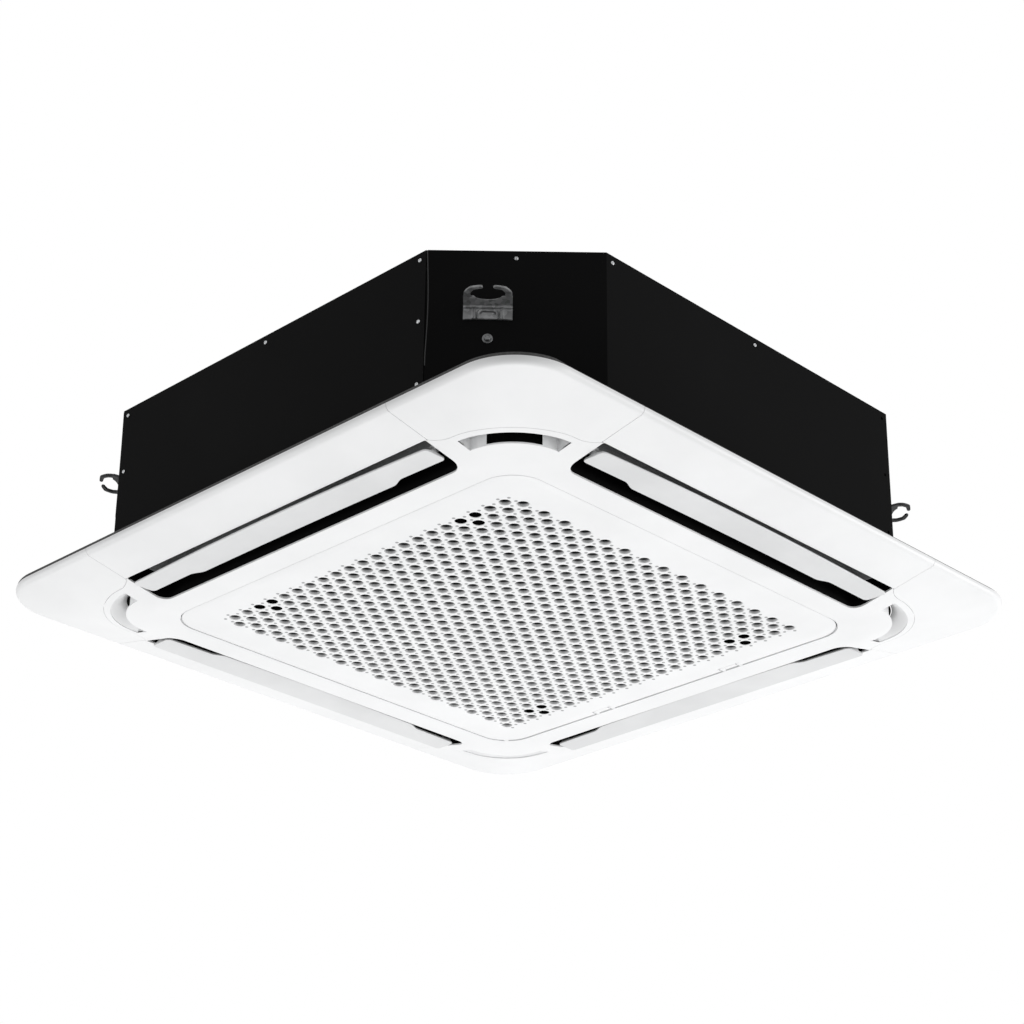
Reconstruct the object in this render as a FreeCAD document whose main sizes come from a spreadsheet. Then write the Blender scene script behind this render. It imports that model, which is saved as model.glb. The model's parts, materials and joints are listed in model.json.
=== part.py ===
import FreeCAD, Part
import math
import os
import re
import Sketcher

# A four-way ceiling cassette air conditioner: a slim octagonal casing that hangs from four rods above the
# ceiling, and a square panel below it with a perforated intake grille and four louvers.
# The origin is the centre of the four hanger lugs, +Z is up and -Y is the front side.

# Driving sizes in millimetres, with angles in degrees and plain counts
SIZES = {
    # Panel
    "panel_width": 950.0,
    "panel_corner_radius": 80.0,
    "panel_rim": 8.0,
    "rim_edge_height": 4.5,
    "rim_edge_step": 1.5,
    "rim_edge_rise": 1.2,
    "rim_edge_run": 6.0,
    "panel_drop": 34.0,
    "panel_wall": 3.2,
    "rim_flange": 30.0,
    "slope_foot_radius": 60.0,
    "slope_foot_step": 1.0,
    "slot_inset": 350.0,
    "slot_width": 61.0,
    "slot_length": 540.0,
    "slot_corner_radius": 12.0,
    "duct_wall": 2.5,
    "outlet_gasket_thickness": 3.0,
    "outlet_gasket_lip": 2.0,
    "seam_gap": 0.4,
    "seam_offset": 8.5,
    "corner_outlet_centre": 300.0,
    "corner_outlet_radius": 90.0,
    "corner_outlet_width": 20.0,
    "corner_opening": 62.0,
    "corner_pocket_depth": 9.0,
    # Grille and filter
    "opening_width": 626.0,
    "opening_corner_radius": 46.0,
    "intake_wall": 3.0,
    "ledge_width": 16.0,
    "ledge_thickness": 3.0,
    "ledge_rise": 10.0,
    "grille_gap": 2.0,
    "grille_hinge_gap": 3.0,
    "grille_thickness": 5.5,
    "hole_diameter": 15.0,
    "hole_pitch": 24.3,
    "row_pitch": 17.67,
    "hole_rows": 30,
    "row_holes": 22,
    "stud_column": 3,
    "stud_clearance": 0.2,
    "stud_recess": 1.0,
    "stud_flange": 1.5,
    "hinge_spacing": 230.0,
    "hinge_pin_radius": 1.5,
    "hinge_pin_inset": 7.0,
    "hinge_pin_rise": 3.2,
    "knuckle_radius": 3.0,
    "knuckle_length": 22.0,
    "ear_width": 6.0,
    "hinge_play": 0.4,
    "running_clearance": 0.05,
    "latch_spacing": 300.0,
    "latch_width": 28.0,
    "latch_length": 24.0,
    "latch_thickness": 3.6,
    "latch_reach": 3.5,
    "slide_play": 0.3,
    "filter_width": 560.0,
    "filter_bar": 10.0,
    "filter_height": 5.0,
    "filter_mesh_thickness": 0.6,
    "filter_rib": 4.0,
    "panel_bolt_radius": 2.5,
    "panel_bolt_head": 4.6,
    "panel_bolt_head_height": 3.0,
    "panel_bolt_bite": 16.0,
    "panel_bolt_inset": 6.0,
    "bolt_clearance": 0.3,
    # Louvers
    "louver_tilt": -3.0,
    "louver_outer_chord": 20.0,
    "louver_inner_chord": 25.0,
    "louver_end_chord": 18.5,
    "louver_step_start": 172.0,
    "louver_step_end": 190.0,
    "louver_thickness": 3.0,
    "louver_edge": 1.6,
    "louver_axis_inset": 21.8,
    "louver_axis_rise": 15.4,
    "louver_axis_lift": 6.0,
    "louver_spine": 4.0,
    "louver_end_gap": 2.5,
    "stub_radius": 3.0,
    "bush_radius": 3.85,
    "bush_length": 6.0,
    "stepper_radius": 10.0,
    "stepper_offset": 9.0,
    "stepper_length": 17.0,
    "stepper_boss_radius": 3.8,
    "stepper_boss_length": 2.0,
    # Casing
    "casing_width": 855.0,
    "casing_height": 208.0,
    "chamfer_leg": 146.0,
    "wide_chamfer_leg": 174.0,
    "ceiling_gap": 6.0,
    "sheet": 1.2,
    "sheet_gap": 0.2,
    "sheet_flange": 20.0,
    "top_skirt": 25.0,
    "bead_height": 3.0,
    "bead_width": 12.0,
    "bead_radius": 250.0,
    "screw_head_radius": 4.0,
    "screw_head_height": 2.4,
    "screw_shank_radius": 1.9,
    "screw_shank_length": 4.0,
    "screw_margin": 10.0,
    "screw_step": 81.0,
    # Hangers
    "rod_pitch_along_x": 690.0,
    "rod_pitch_along_y": 780.0,
    "lug_drop": 71.0,
    "lug_width": 56.0,
    "lug_thickness": 3.0,
    "lug_beyond_rod": 16.5,
    "hanger_slot_width": 31.0,
    "hanger_slot_depth": 13.0,
    "hanger_mouth": 11.0,
    "lug_corner": 12.0,
    "hanger_plate_drop": 21.0,
    "hanger_plate_rise": 14.0,
    "hanger_bolt_radius": 3.0,
    "hanger_bolt_head": 6.5,
    "hanger_bolt_head_height": 4.0,
    "hanger_bolt_drop": 45.0,
    "hanger_washer_radius": 8.5,
    "hanger_washer_thickness": 1.5,
    # Airway and drain
    "liner_thickness": 6.0,
    "pan_thickness": 38.0,
    "pan_opening_radius": 230.0,
    "trough_depth": 18.0,
    "sump_depth": 24.0,
    "sump_length": 90.0,
    "sump_width": 53.0,
    "sump_inset": 262.0,
    "sump_side": 292.0,
    "mouth_throat_radius": 192.0,
    "mouth_rim_radius": 226.0,
    "mouth_flange_radius": 262.0,
    "mouth_wall": 2.5,
    "mouth_lip": 9.0,
    "mouth_rise": 4.0,
    "trough_margin": 2.0,
    # Coil and pipes
    "coil_width": 676.0,
    "coil_depth": 44.0,
    "coil_corner_radius": 110.0,
    "coil_top_gap": 6.0,
    "coil_end_inset": 250.0,
    "end_plate": 1.5,
    "bend_tube_radius": 3.5,
    "bend_radius": 10.5,
    "bend_rows": 6,
    "header_radius": 9.0,
    "gas_pipe_radius": 7.94,
    "liquid_pipe_radius": 4.76,
    "pipe_wall": 1.0,
    "pipe_reach": 60.0,
    "gas_pipe_rise": 152.0,
    "gas_shift": 50.0,
    "liquid_shift": 34.3,
    "header_inset": 64.0,
    "header_height": 140.0,
    "pipe_clearance": 0.3,
    "flare_nut_length": 22.0,
    "flare_nut_wall": 5.0,
    "pipe_plate_width": 84.0,
    "pipe_plate_height": 96.0,
    # Fan
    "fan_radius": 245.0,
    "fan_height": 130.0,
    "fan_base_rise": 46.0,
    "fan_inlet_radius": 200.0,
    "fan_wall": 2.5,
    "fan_shroud_height": 54.0,
    "fan_dome_radius": 112.0,
    "fan_dome_foot": 46.0,
    "fan_dome_depth": 72.0,
    "fan_hub_radius": 16.0,
    "fan_hub_length": 20.0,
    "fan_blades": 7,
    "blade_root": 125.0,
    "blade_tip": 232.0,
    "blade_sweep": 70.0,
    "blade_bow": 30.0,
    "blade_thickness": 3.0,
    "shaft_radius": 6.0,
    "shaft_fit": 0.02,
    "fan_nut_radius": 10.0,
    "fan_nut_height": 8.0,
    "motor_radius": 62.0,
    "motor_height": 56.0,
    "motor_mount_radius": 9.0,
    "motor_mount_height": 6.0,
    "motor_mount_circle": 45.0,
    "motor_mount_count": 3,
    # Drain pump and float
    "pump_radius": 23.0,
    "pump_height": 84.0,
    "pump_inset_x": 325.0,
    "pump_inset_y": 318.5,
    "drain_pipe_radius": 16.0,
    "drain_pipe_wall": 2.5,
    "drain_neck_wall": 1.5,
    "drain_pipe_rise": 62.0,
    "drain_pipe_reach": 45.0,
    "float_radius": 11.0,
    "float_height": 14.0,
    "float_travel": 10.0,
    "float_stem_radius": 3.0,
    "float_inset_x": 280.0,
    # Control box
    "box_length": 420.0,
    "box_depth": 62.0,
    "box_height": 22.0,
    "box_wall": 1.2,
    "box_offset": 254.0,
    "board_thickness": 1.6,
    "board_stand": 4.0,
    "terminal_length": 90.0,
    "terminal_depth": 24.0,
    "terminal_height": 9.0,
    "gland_radius": 13.0,
    "gland_bore": 7.0,
    "gland_length": 12.0,
    "gland_place": 180.0,
    "gland_rise": 150.0,
    "gland_neck": 10.0,
}

# Places worked out from the driving sizes, as formulas
PLACES = {
    "root_two": "sqrt(2)",
    "casing_top": "lug_drop",
    "casing_base": "casing_top - casing_height",
    "ceiling": "casing_base - ceiling_gap",
    "panel_face": "ceiling - panel_drop",
    "rim_low": "ceiling - panel_rim",
    "panel_half": "panel_width / 2",
    "slot_outer": "slot_inset + slot_width",
    "slot_half": "slot_length / 2",
    "slope_foot": "slot_inset + slope_foot_step",
    "slope": "(panel_drop - panel_rim) / (panel_half - slope_foot)",
    "cavity_half": "panel_half - rim_flange",
    "cavity_low": "rim_low + panel_wall - slope * rim_flange",
    "seam_radius": "corner_outlet_radius + seam_offset",
    "outlet_inner_radius": "corner_outlet_radius - corner_outlet_width",
    "pocket_top": "panel_face + panel_drop - corner_pocket_depth - panel_rim",
    "duct_top": "casing_base - outlet_gasket_thickness",
    "opening_half": "opening_width / 2",
    "ledge_low": "panel_face + ledge_rise",
    "ledge_inner": "opening_half - ledge_width - intake_wall",
    "grille_half": "opening_half - grille_gap",
    "grille_back": "opening_half - grille_hinge_gap",
    "grille_corner_radius": "opening_corner_radius - grille_gap",
    "grille_top": "panel_face + grille_thickness",
    "hinge_out": "opening_half - hinge_pin_inset",
    "hinge_level": "panel_face + hinge_pin_rise",
    "ear_inner": "knuckle_length / 2 + hinge_play",
    "ear_outer": "ear_inner + ear_width",
    "notch_inner": "ear_inner - hinge_play / 2",
    "notch_outer": "ear_outer + 1.5 * hinge_play",
    "notch_depth": "knuckle_radius * 1.5",
    "panel_bolt_out": "ledge_inner + panel_bolt_inset",
    "latch_low": "grille_top + slide_play",
    "latch_tip": "opening_half + latch_reach",
    "filter_low": "grille_top",
    "filter_half": "filter_width / 2",
    "filter_top": "filter_low + filter_height",
    "rib_low": "filter_top - filter_rib / 2",
    "louver_axis_out": "slot_outer - louver_axis_inset",
    "louver_axis_level": "panel_face + louver_axis_rise",
    "tilt_cos": "cos(louver_tilt * 1 deg)",
    "tilt_sin": "sin(louver_tilt * 1 deg)",
    "louver_half": "slot_half - louver_end_gap",
    "step_out": "louver_axis_out - louver_end_chord * tilt_cos - louver_axis_lift * tilt_sin",
    "louver_inner_edge": "louver_axis_out - louver_inner_chord * tilt_cos - louver_axis_lift * tilt_sin",
    "duct_half": "slot_half + duct_wall",
    "stub_end": "slot_half + bush_length",
    "casing_half": "casing_width / 2",
    "skirt_inset": "2 * sheet + 2 * sheet_gap",
    "liner_inset": "skirt_inset + sheet + sheet_gap",
    "pan_inset": "liner_inset + liner_thickness + sheet_gap",
    "plate_top": "casing_top - bead_height",
    "plate_under": "plate_top - sheet",
    "pan_top": "casing_base + pan_thickness",
    "trough_floor": "pan_top - trough_depth",
    "coil_half": "coil_width / 2",
    "coil_inner_half": "coil_half - coil_depth",
    "coil_top": "plate_under - coil_top_gap",
    "chamfer_out": "(2 * casing_half - chamfer_leg) / root_two",
    "wide_chamfer_out": "(2 * casing_half - wide_chamfer_leg) / root_two",
    "rod_out": "(rod_pitch_along_x + rod_pitch_along_y) / 2 / root_two",
    "rod_shift": "(rod_pitch_along_y - rod_pitch_along_x) / 2 / root_two",
    "fan_base": "casing_base + fan_base_rise",
    "fan_top": "fan_base + fan_height",
    "hub_floor": "fan_top - fan_dome_depth",
    "hub_low": "hub_floor - fan_hub_length / 2 + fan_wall",
    "hub_high": "hub_low + fan_hub_length",
    "motor_top": "plate_under - motor_mount_height",
    "motor_low": "motor_top - motor_height",
    "sump_floor": "pan_top - sump_depth",
    "pump_out": "(pump_inset_x + pump_inset_y) / root_two",
    "pump_shift": "(pump_inset_y - pump_inset_x) / root_two",
    "mouth_low": "casing_base + mouth_rise",
    "header_out": "chamfer_out - header_inset",
    "header_low": "gas_level + gas_pipe_radius * 4 - header_height",
    "gas_level": "casing_base + gas_pipe_rise",
    "liquid_level": "(trough_floor + coil_top) / 2",
    "liquid_out": "(coil_end_inset + end_plate) * root_two + liquid_shift + liquid_pipe_radius * 1.5",
    "drain_level": "casing_base + drain_pipe_rise",
    "drain_bore": "drain_pipe_radius - drain_pipe_wall",
    "drain_neck": "drain_bore + drain_neck_wall",
    "gland_level": "casing_base + gland_rise",
    "box_top": "casing_base",
    "box_low": "casing_base - box_height",
}

SIDES = ("front", "right", "back", "left")
CORNERS = ("front_right", "back_right", "back_left", "front_left")
SIGNS = ((1, -1), (1, 1), (-1, 1), (-1, -1))
ACROSS = ((0, -1), (1, 0), (0, 1), (-1, 0))
QUARTER = 90.0
NEAR = 0.01
SKETCH_REACH = 100.0
SKETCH_BEND = 20.0
# Shares of the bell mouth's flare and of its drop where its curve bends
MOUTH_LOW_BEND = (0.4, 0.3)
MOUTH_HIGH_BEND = (0.1, 0.7)
MOUTH_FLANGE_STEP = 0.02
WORD = re.compile(r"[a-z]+(?:_[a-z]+)*")
UP = FreeCAD.Vector(0, 0, 1)
EAST = FreeCAD.Vector(1, 0, 0)
NORTH = FreeCAD.Vector(0, 1, 0)
SOUTH = FreeCAD.Vector(0, -1, 0)

doc = FreeCAD.newDocument("CeilingCassette")
sheet = doc.addObject("Spreadsheet::Sheet", "Sizes")
for row, (alias, amount) in enumerate(SIZES.items(), start=1):
    sheet.set(f"A{row}", alias)
    sheet.set(f"B{row}", str(amount))
    sheet.setAlias(f"B{row}", alias)
doc.recompute()
pieces = {}


def formula(text):
    """Spell a formula of size and place names so that it reads the sheet."""

    def spell(found):
        word = found.group(0)
        if word in SIZES:
            return "Sizes." + word
        if word in PLACES:
            return "(" + formula(PLACES[word]) + ")"
        return word

    return WORD.sub(spell, text)


places = doc.addObject("App::VarSet", "Places")
for alias, text in PLACES.items():
    places.addProperty("App::PropertyFloat", alias)
    places.setExpression(alias, formula(text))
doc.recompute()


def size(name):
    """The present value of a driving size or of a place."""
    return getattr(sheet if name in SIZES else places, name)


def keep(node, thing, quarter_turns=0):
    """Name a finished sub-part, turned about the plan's centre by quarter turns."""
    thing.Label = node
    if quarter_turns:
        turn(thing, quarter_turns)
    pieces[node] = thing
    return thing


def turn(thing, quarter_turns):
    """Turn a thing about the vertical line through the origin."""
    thing.Placement = FreeCAD.Placement(FreeCAD.Vector(), FreeCAD.Rotation(UP, QUARTER * quarter_turns))
    return thing


def place(thing, spot, rotation=None):
    """Put a thing at a spot given as three formulas."""
    thing.Placement = FreeCAD.Placement(FreeCAD.Vector(), rotation or FreeCAD.Rotation())
    for letter, text in zip("xyz", spot):
        thing.setExpression(f"Placement.Base.{letter}", formula(text))
    return thing


def block(name, x, y, z):
    """A box between a low and a high formula on each axis."""
    thing = doc.addObject("Part::Box", name)
    for extent, (low, high) in zip(("Length", "Width", "Height"), (x, y, z)):
        thing.setExpression(extent, formula(f"({high}) - ({low})"))
    return place(thing, (x[0], y[0], z[0]))


def rod(name, radius, spot, length, direction=UP, sweep=360.0, start=0.0):
    """A cylinder, or a sector of one, from a spot along a direction."""
    thing = doc.addObject("Part::Cylinder", name)
    thing.setExpression("Radius", formula(radius))
    thing.setExpression("Height", formula(length))
    thing.Angle = sweep
    aim = FreeCAD.Rotation(UP, direction)
    return place(thing, spot, aim.multiply(FreeCAD.Rotation(UP, start)))


def fuse(name, things):
    """One solid of several things."""
    thing = doc.addObject("Part::MultiFuse", name)
    thing.Shapes = things
    return thing


def group(name, things):
    """Several separate solids in one sub-part."""
    thing = doc.addObject("Part::Compound", name)
    thing.Links = things
    return thing


def cut(name, base, tools):
    """A base with one or more tools taken away."""
    thing = doc.addObject("Part::Cut", name)
    thing.Base = base
    thing.Tool = tools[0] if len(tools) == 1 else fuse(name + "Tools", tools)
    return thing


def common(name, base, tool):
    """What two things share."""
    thing = doc.addObject("Part::Common", name)
    thing.Base = base
    thing.Tool = tool
    return thing


def sketch_on(body, plane, level):
    """An empty sketch parallel to one of a body's origin planes."""
    sketch = body.newObject("Sketcher::SketchObject", body.Name + "Sketch")
    support = next(item for item in body.Origin.OriginFeatures if item.Role == plane)
    sketch.AttachmentSupport = [(support, "")]
    sketch.MapMode = "FlatFace"
    sketch.setExpression("AttachmentOffset.Base.z", formula(level))
    return sketch


def constrain(sketch, plain, bound):
    """Add constraints, then tie the sized ones to their formulas."""
    sketch.addConstraint(plain + [item for item, text in bound])
    for number, (item, text) in enumerate(bound, start=len(plain)):
        sketch.setExpression(f"Constraints[{number}]", formula(text))


def draw_outline(sketch, points):
    """A closed outline of straight lines through points given as pairs of formulas."""
    count = len(points)
    ring = [2 * math.pi * i / count for i in range(count)]
    start = [FreeCAD.Vector(math.cos(a), math.sin(a), 0) * SKETCH_REACH for a in ring]
    lines = [Part.LineSegment(start[i], start[(i + 1) % count]) for i in range(count)]
    sketch.addGeometry(lines, False)
    joined = [Sketcher.Constraint("Coincident", i, 2, (i + 1) % count, 1) for i in range(count)]
    bound = []
    for i, (across, along) in enumerate(points):
        bound.append((Sketcher.Constraint("DistanceX", -1, 1, i, 1, start[i].x), across))
        bound.append((Sketcher.Constraint("DistanceY", -1, 1, i, 1, start[i].y), along))
    constrain(sketch, joined, bound)
    return sketch


def draw_rounded(sketch, half, radius, high=None):
    """A square about the origin with rounded corners; high moves its upper side."""
    side = SKETCH_REACH
    bend = SKETCH_BEND
    run = side - bend
    vector = FreeCAD.Vector
    shapes = [
        Part.LineSegment(vector(-run, -side, 0), vector(run, -side, 0)),
        Part.LineSegment(vector(side, -run, 0), vector(side, run, 0)),
        Part.LineSegment(vector(run, side, 0), vector(-run, side, 0)),
        Part.LineSegment(vector(-side, run, 0), vector(-side, -run, 0)),
    ]
    for number, (x, y) in enumerate(SIGNS):
        first = (number - 1) * math.pi / 2
        circle = Part.Circle(vector(x * run, y * run, 0), UP, bend)
        shapes.append(Part.ArcOfCircle(circle, first, first + math.pi / 2))
    sketch.addGeometry(shapes, False)
    plain = []
    for number in range(4):
        plain.append(Sketcher.Constraint("Tangent", number, 2, 4 + number, 1))
        plain.append(Sketcher.Constraint("Tangent", 4 + number, 2, (number + 1) % 4, 1))
        plain.append(Sketcher.Constraint("Vertical" if number % 2 else "Horizontal", number))
    plain += [Sketcher.Constraint("Equal", 4, number) for number in (5, 6, 7)]
    bound = [
        (Sketcher.Constraint("Radius", 4, bend), radius),
        (Sketcher.Constraint("DistanceY", -1, 1, 0, 1, -side), f"-({half})"),
        (Sketcher.Constraint("DistanceX", -1, 1, 1, 1, side), half),
        (Sketcher.Constraint("DistanceY", -1, 1, 2, 1, side), high or half),
        (Sketcher.Constraint("DistanceX", -1, 1, 3, 1, -side), f"-({half})"),
    ]
    constrain(sketch, plain, bound)
    return sketch


def pad_up(body, sketch, length):
    """Pad a sketch along its normal."""
    pad = body.newObject("PartDesign::Pad", body.Name + "Pad")
    pad.Profile = sketch
    pad.setExpression("Length", formula(length))
    return body


def prism(name, points, low, high, plane="XY_Plane"):
    """A straight-sided outline padded from one level to another."""
    body = doc.addObject("PartDesign::Body", name)
    sketch = draw_outline(sketch_on(body, plane, low), points)
    return pad_up(body, sketch, f"({high}) - ({low})")


def rounded_prism(name, half, radius, low, high, upper=None):
    """A square with rounded corners padded from one level to another."""
    body = doc.addObject("PartDesign::Body", name)
    sketch = draw_rounded(sketch_on(body, "XY_Plane", low), half, radius, upper)
    return pad_up(body, sketch, f"({high}) - ({low})")


def turned(name, points):
    """An outline of radius and height turned about the vertical axis."""
    body = doc.addObject("PartDesign::Body", name)
    sketch = draw_outline(sketch_on(body, "XZ_Plane", "0"), points)
    revolution = body.newObject("PartDesign::Revolution", name + "Revolution")
    revolution.Profile = sketch
    revolution.ReferenceAxis = (sketch, ["V_Axis"])
    revolution.Angle = 360.0
    return body


def tapered(name, top, rings):
    """A rounded square block that steps in from ring to ring below its upright part."""
    body = doc.addObject("PartDesign::Body", name)
    half, radius, level = rings[0]
    upper = draw_rounded(sketch_on(body, "XY_Plane", level), half, radius)
    pad_up(body, upper, f"({top}) - ({level})")
    sections = []
    for half, radius, level in rings:
        sections.append(draw_rounded(sketch_on(body, "XY_Plane", level), half, radius))
    doc.recompute()
    loft = body.newObject("PartDesign::AdditiveLoft", name + "Slope")
    loft.Profile = sections[0]
    loft.Sections = sections[1:]
    loft.Ruled = True
    doc.recompute()
    return body


def octagon(inset):
    """The casing's eight corners, moved in from every face by an inset."""
    half = f"(casing_half - ({inset}))"
    shrink = f"({inset}) * (2 - root_two)"
    legs = [f"(chamfer_leg - {shrink})"] * 4
    legs[CORNERS.index("back_right")] = f"(wide_chamfer_leg - {shrink})"
    points = []
    for (x, y), leg in zip(SIGNS, legs):
        along_x = (f"{x} * ({half} - {leg})", f"{y} * {half}")
        along_y = (f"{x} * {half}", f"{y} * ({half} - {leg})")
        points += [along_x, along_y] if x * y < 0 else [along_y, along_x]
    return points


def diagonal_spot(out, shift, x_sign, y_sign, level):
    """A spot measured out along a corner's diagonal and sideways towards the y side of that corner."""
    return (
        f"{x_sign} * (({out}) - ({shift})) / root_two",
        f"{y_sign} * (({out}) + ({shift})) / root_two",
        level,
    )


# Panel: the frame, and the corner covers cut out of it along thin seams
def panel_form():
    """The panel as a solid block: a rim with a rounded edge, then a slope down to the flat middle."""

    def ring(inset, level):
        return f"panel_half - {inset}", f"panel_corner_radius - {inset}", level

    return tapered("PanelForm", "ceiling", [
        ring("0", "rim_low + rim_edge_height"),
        ring("rim_edge_step", "rim_low + rim_edge_rise"),
        ring("rim_edge_run", "rim_low - rim_edge_run * slope"),
        ("slope_foot", "slope_foot_radius", "panel_face"),
    ])


def panel_hollow():
    """The space behind the panel's skin."""
    return tapered("PanelHollow", "ceiling + panel_rim", [
        ("cavity_half", "panel_corner_radius - rim_flange", "cavity_low"),
        ("slope_foot", "slope_foot_radius", "panel_face + panel_wall"),
    ])


def corner_zone(name, gap):
    """The front right corner outside the seam, drawn back from it by a gap."""
    reach = "panel_half + panel_rim"
    start = f"duct_half + {gap}"
    zone = block(
        name + "Zone", (start, reach), (f"-({reach})", f"-({start})"),
        ("panel_face - panel_rim", "ceiling + panel_rim"),
    )
    centre = "corner_outlet_centre"
    radius = f"(seam_radius + {gap})"
    edge = f"(slot_outer + duct_wall + {gap})"
    inner = [
        ("0", "0"),
        ("0", f"-{edge}"),
        ("slot_half", f"-{edge}"),
        (centre, f"-({centre} + {radius})"),
        (centre, f"-{centre}"),
        (f"{centre} + {radius}", f"-{centre}"),
        (edge, "-slot_half"),
        (edge, "0"),
    ]
    low = "panel_face - 2 * panel_rim"
    high = "ceiling + 2 * panel_rim"
    kept = prism(name + "Kept", inner, low, high)
    bend = rod(name + "Bend", radius, (centre, f"-{centre}", low), f"({high}) - ({low})")
    return cut(name, zone, [kept, bend])


def side_duct():
    """The walls round the front outlet slot, from the panel's skin to the casing."""
    x = ("-duct_half", "duct_half")
    y = ("-(slot_outer + duct_wall)", "-(slot_inset - duct_wall)")
    lower = block("DuctLower", x, y, ("panel_face", "ceiling"))
    upper = block("DuctUpper", x, y, ("ceiling - duct_wall", "duct_top"))
    return fuse("Duct", [common("DuctInSkin", lower, panel_solid), upper])


def side_slot():
    """The front outlet slot, right through, with its inner corners rounded, and the holes for the stubs."""
    hole = block(
        "Slot", ("-slot_half", "slot_half"), ("-slot_outer", "-slot_inset"),
        ("panel_face - panel_rim", "duct_top + panel_rim"),
    )
    doc.recompute()
    rounded = doc.addObject("Part::Fillet", "SlotRounded")
    rounded.Base = hole
    radius = size("slot_corner_radius")
    inner = -size("slot_inset")
    edges = []
    for number, edge in enumerate(hole.Shape.Edges, start=1):
        box = edge.BoundBox
        if box.ZLength > NEAR and abs(box.YMin - inner) < NEAR and abs(box.YMax - inner) < NEAR:
            edges.append((number, radius, radius))
    rounded.Edges = edges
    bore = rod(
        "StubHole", "bush_radius + running_clearance",
        ("-duct_half - duct_wall", "-louver_axis_out", "louver_axis_level"),
        "2 * (duct_half + duct_wall)", EAST,
    )
    return fuse("SlotAndHoles", [rounded, bore])


def outlet_band(name, half, top):
    """A straight band across the middle of the front right corner outlet."""
    start = "corner_outlet_centre * root_two"
    corners = ((start, f"-({half})"), ("panel_width", f"-({half})"), ("panel_width", half), (start, half))
    points = [diagonal_spot(out, shift, 1, -1, "0")[:2] for out, shift in corners]
    return prism(name, points, "panel_face - panel_rim", top)


def corner_outlet():
    """The front right corner outlet: the boss that carries it, and what is taken out of that boss."""
    low = "panel_face - panel_rim"
    spot = ("corner_outlet_centre", "-corner_outlet_centre", low)
    roof = f"(ceiling - duct_wall) - ({low})"
    shallow = f"(pocket_top + duct_wall) - ({low})"
    hub = rod("OutletHub", "outlet_inner_radius - duct_wall", spot, roof)
    core = rod("OutletCore", "outlet_inner_radius", spot, roof)
    outer = "corner_outlet_radius + duct_wall"
    ring = cut("OutletBossRing", rod("OutletBoss", outer, spot, shallow, UP, QUARTER, -QUARTER), [hub])
    tall = cut("OutletTallRing", rod("OutletTall", outer, spot, roof), [hub])
    band = outlet_band("ChannelBand", "corner_opening / 2 + duct_wall", "ceiling")
    channel = common("OutletChannel", tall, band)
    boss = common("OutletBossInSkin", fuse("OutletBosses", [ring, channel]), panel_solid)
    floor = f"pocket_top - ({low})"
    shallows = rod("OutletShallow", "corner_outlet_radius", spot, floor, UP, QUARTER, -QUARTER)
    pocket = cut("OutletPocket", shallows, [core])
    deep = cut("OutletDeep", rod("OutletRound", "corner_outlet_radius", spot, f"{roof} - duct_wall"), [core])
    opening = common("OutletOpening", deep, outlet_band("OutletBand", "corner_opening / 2", "ceiling"))
    return boss, fuse("OutletTaken", [pocket, opening])


def hinge_ears():
    """Two pairs of ears on the back wall of the intake, and the bores for the hinge pins."""
    ears = []
    bores = []
    for x in (-1, 1):
        middle = f"{x} * hinge_spacing / 2"
        for near, far in (("ear_inner", "ear_outer"), ("-ear_outer", "-ear_inner")):
            ears.append(block(
                "Ear", (f"{middle} + {near}", f"{middle} + {far}"),
                ("hinge_out - knuckle_radius", "opening_half + intake_wall / 2"),
                ("hinge_level - knuckle_radius + hinge_play", "hinge_level + knuckle_radius"),
            ))
        bores.append(rod(
            "EarBore", "hinge_pin_radius + shaft_fit", (f"{middle} - ear_outer", "hinge_out", "hinge_level"),
            "2 * ear_outer", EAST,
        ))
    return ears, bores


def keeper_slots():
    """Slots in the front wall of the intake that the grille's latches reach into."""
    slots = []
    room = "(latch_width / 2 + 2 * slide_play)"
    for x in (-1, 1):
        middle = f"{x} * latch_spacing / 2"
        slots.append(block(
            "KeeperSlot", (f"{middle} - {room}", f"{middle} + {room}"),
            ("-(opening_half + 2 * intake_wall)", "-(opening_half - intake_wall / 2)"),
            ("latch_low - 2 * slide_play", "ledge_low"),
        ))
    return slots


def bolt_holes(low, length):
    """Four clearance holes for the panel bolts."""
    return [
        rod("BoltHole", "panel_bolt_radius + bolt_clearance",
            (f"{x} * panel_bolt_out", f"{y} * panel_bolt_out", low), length)
        for x, y in ACROSS
    ]


def around(make):
    """The same thing made on each of the four sides or corners."""
    return [turn(make(), number) for number in range(4)]


def panel_frame():
    wall = "opening_half + intake_wall"
    bend = "opening_corner_radius + intake_wall"
    wall_ring = cut(
        "IntakeWall",
        rounded_prism("IntakeOuter", wall, bend, "panel_face + intake_wall / 2", "duct_top"),
        [rounded_prism("IntakeInner", "opening_half", "opening_corner_radius", "panel_face",
                       "duct_top + panel_rim")],
    )
    ledge = cut(
        "Ledge",
        rounded_prism("LedgeOuter", f"{wall} / 2", f"{bend} / 2", "ledge_low", "ledge_low + ledge_thickness"),
        [rounded_prism("LedgeInner", "ledge_inner", "opening_corner_radius - ledge_width",
                       "ledge_low - ledge_thickness", "ledge_low + 2 * ledge_thickness")],
    )
    opening = rounded_prism("Opening", "opening_half", "opening_corner_radius", "panel_face - panel_rim",
                            "ledge_low - ledge_thickness")
    plate = cut("PanelPlate", panel_shell, around(lambda: corner_zone("FrameCorner", "0")) + [opening])
    bosses = []
    taken = around(side_slot)
    for corner in range(4):
        boss, pocket = corner_outlet()
        bosses.append(turn(boss, corner))
        taken.append(turn(pocket, corner))
    ears, bores = hinge_ears()
    taken += bores + keeper_slots() + bolt_holes("ledge_low - ledge_thickness", "3 * ledge_thickness")
    solid = fuse("PanelFused", [plate, wall_ring, ledge] + bosses + ears + around(side_duct))
    keep("panel_frame", cut("PanelFrame", solid, taken))


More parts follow.
